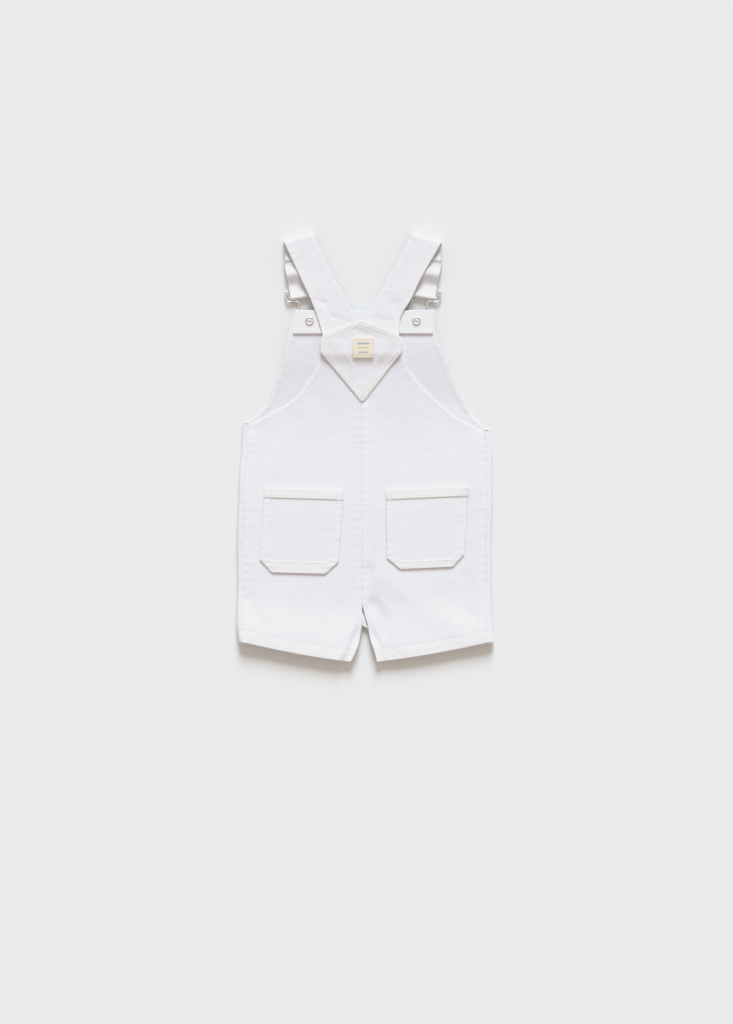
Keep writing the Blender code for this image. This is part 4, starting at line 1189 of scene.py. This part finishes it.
# Ridges of the strap ends below the patch, and the dents between them
PATCH_CREASES = table("x0 y0 x1 y1 width height", [
    (-22, 98, -14, 86, 2.6, 0.26), (-14, 86, -12, 73, 2.4, 0.22), (18, 98, 10, 86, 2.6, 0.24),
    (10, 86, 8.5, 74, 2.4, 0.20), (-12, 124, 3, 118, 3.2, -0.30), (-27, 114, -22, 112, 4, -0.26),
    (15, 114, 20, 112, 4, -0.26), (-38, 104, -28, 90, 3.5, -0.16), (28, 104, 20, 92, 3.5, -0.16),
])


def patch_under(x, y):
    """Underside of the patch: on the back panel below, on the strap ends above."""
    low = back_top(x, y) + LAID_GAP + (STRAP_WALL + LAID_GAP + GAP) * ease((y - 84) / 16)
    high = run_height(x, y) + STRAP_WALL / 2 + LAID_GAP
    return np.where(y < 100, low, high)


def patch_face(x, y):
    """Height of the patch's outer face, with its turned border, stitch lines, ridges and dents."""
    rim = np.min(inward(x, y, PATCH_CORNERS), axis=0)
    face = patch_under(x, y) + CLOTH + creases(PATCH_CREASES, x, y) + turned(rim, PATCH_BORDER, 0.14)
    face = face + groove(rim - 1.6, 0.09, 0.6) + groove(rim - PATCH_BORDER + 1, 0.11, 0.7)
    return face + pull_marks(x - y, rim - 3, 7.0, 0.09, 4) + rounded(np.clip(rim, 0, None), 0.45)


line_up = np.concatenate([[0, 0.03, 0.08], np.linspace(0.16, 9.8, 84), [9.9, 9.96, 10]])
rows = {key: np.interp(line_up, np.arange(11), PATCH[key])[:, None] for key in PATCH}
share = (steps(0, 84, 1.0) / 84)[None]
x = mix(rows["low"], rows["high"], share)
y = mix(rows["middle"], rows["ends"], np.clip(np.sqrt((2 * (share - PEAK_AT)) ** 2 + PEAK_ROUND), 0, 1))
rim = np.min(inward(x, y, PATCH_CORNERS), axis=0)
patch = cloth_piece("back_yoke_patch", stack(x, y, patch_face(x, y)), stack(x, y, patch_under(x, y)), (x, y),
                    0.35 + 0.55 * ease((PATCH_BORDER + 1 - rim) / 2), denim)
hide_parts("back_patch")

patch_rows = []
for amount in (1.6, PATCH_BORDER - 1):
    ring = inset(PATCH_CORNERS, np.full(8, amount))
    ring = np.concatenate([ring, ring[:1]])
    way = np.linspace(0, 8, 420)
    x, y = np.interp(way, np.arange(9), ring[:, 0]), np.interp(way, np.arange(9), ring[:, 1])
    patch_rows.append(stack(x, y, patch_face(x, y)))
sew("patch_stitching", patch_rows)
y = 53.5 + np.linspace(0, 5, 11)
tips = [PATCH_CORNERS[0, 0] + reach + 0 * y for reach in (-1.1, 1.1)]
starts, ends = (stack(x, y, patch_face(x, y)) for x in tips)
capsules("patch_bar_tack", starts, ends, np.tile([0.0, 0.0, 1.0], (len(y), 1)), TACK_THREAD)


# The label: a small square of cream damask ribbon sewn on the patch.
# It carries three plain woven bars and no lettering.

LABEL_MIDDLE = (-2.6, 103.9)
LABEL_SIZE = 21.0

# The woven bars: how far above the label's middle, half their length and height, and their yarns' shades
BARS = table("up half_length half_height", [(4.6, 6.4, 0.95), (0.3, 5.6, 0.7), (-4.6, 4.6, 0.75)])
BAR_COLOURS = ("9fc0c4", "d9c6a4", "b9bcb8")

# Damask ribbon: fine polyester warp with coloured weft. It gives the eye a smooth cream face with close
# crosswise ribs 0.5 mm apart, three times the real ribbon's so that they show.
damask = bpy.data.materials.new("damask ribbon")
damask.use_nodes = True
tree = damask.node_tree
shader = tree.nodes["Principled BSDF"]
yarn_colour = add(tree, "Attribute", attribute_name="yarn")
ribbon_place = add(tree, "Attribute", attribute_name="grain")
ribs = add(tree, "TexWave", {"Scale": 2 * pi / 20 / (0.5 * MM), "Distortion": 0.4},
           {"Vector": ribbon_place.outputs["Vector"]}, bands_direction="Y")
ribbon_bump = add(tree, "Bump", {"Strength": 0.3, "Distance": 0.00015}, {"Height": ribs.outputs["Fac"]})
rib_shade = add(tree, "MapRange", {"To Min": 0.93, "To Max": 1.0}, {"Value": ribs.outputs["Fac"]})
woven = add(tree, "VectorMath", {}, {0: yarn_colour.outputs["Vector"], 1: rib_shade.outputs["Result"]},
            operation="MULTIPLY")
tree.links.new(woven.outputs["Vector"], shader.inputs["Base Color"])
tree.links.new(ribbon_bump.outputs["Normal"], shader.inputs["Normal"])
shader.inputs["Roughness"].default_value = 0.65
shader.inputs["Sheen Weight"].default_value = 0.1


def label_face(x, y):
    """Height of the label: just above the patch, turned under at its edges, with the bars slightly raised."""
    rim = LABEL_SIZE / 2 - np.maximum(np.abs(x - LABEL_MIDDLE[0]), np.abs(y - LABEL_MIDDLE[1]))
    face = patch_under(x, y) + 2 * CLOTH + LAID_GAP + turned(rim, 2.4, 0.12) + groove(rim - 1.2, 0.08, 0.4)
    return face + rounded(np.clip(rim, 0, None), 0.3)


grid = steps(0, LABEL_SIZE, 0.35) - LABEL_SIZE / 2
x, y = LABEL_MIDDLE[0] + grid[None] + 0 * grid[:, None], LABEL_MIDDLE[1] + grid[:, None] + 0 * grid[None]
under = patch_under(x, y) + CLOTH + LAID_GAP
label = cloth_piece("ribbon_label", stack(x, y, label_face(x, y)), stack(x, y, under), (x, y), 0.0, damask)
colours = np.tile(np.array(linear("f3e6d6")[:3]), (x.size, 1))
for up, half_length, half_height, shade_code in zip(*BARS.values(), BAR_COLOURS):
    away = np.maximum(np.abs(x - LABEL_MIDDLE[0]) - half_length, np.abs(y - LABEL_MIDDLE[1] - up) - half_height)
    colours = mix(colours, np.array(linear(shade_code)[:3]), ease(0.5 - away / 0.5).reshape(-1, 1))
yarn = label.data.attributes.new("yarn", "FLOAT_VECTOR", "POINT")
yarn.data.foreach_set("vector", np.tile(colours, (2, 1)).astype(np.float32).ravel())
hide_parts("label")
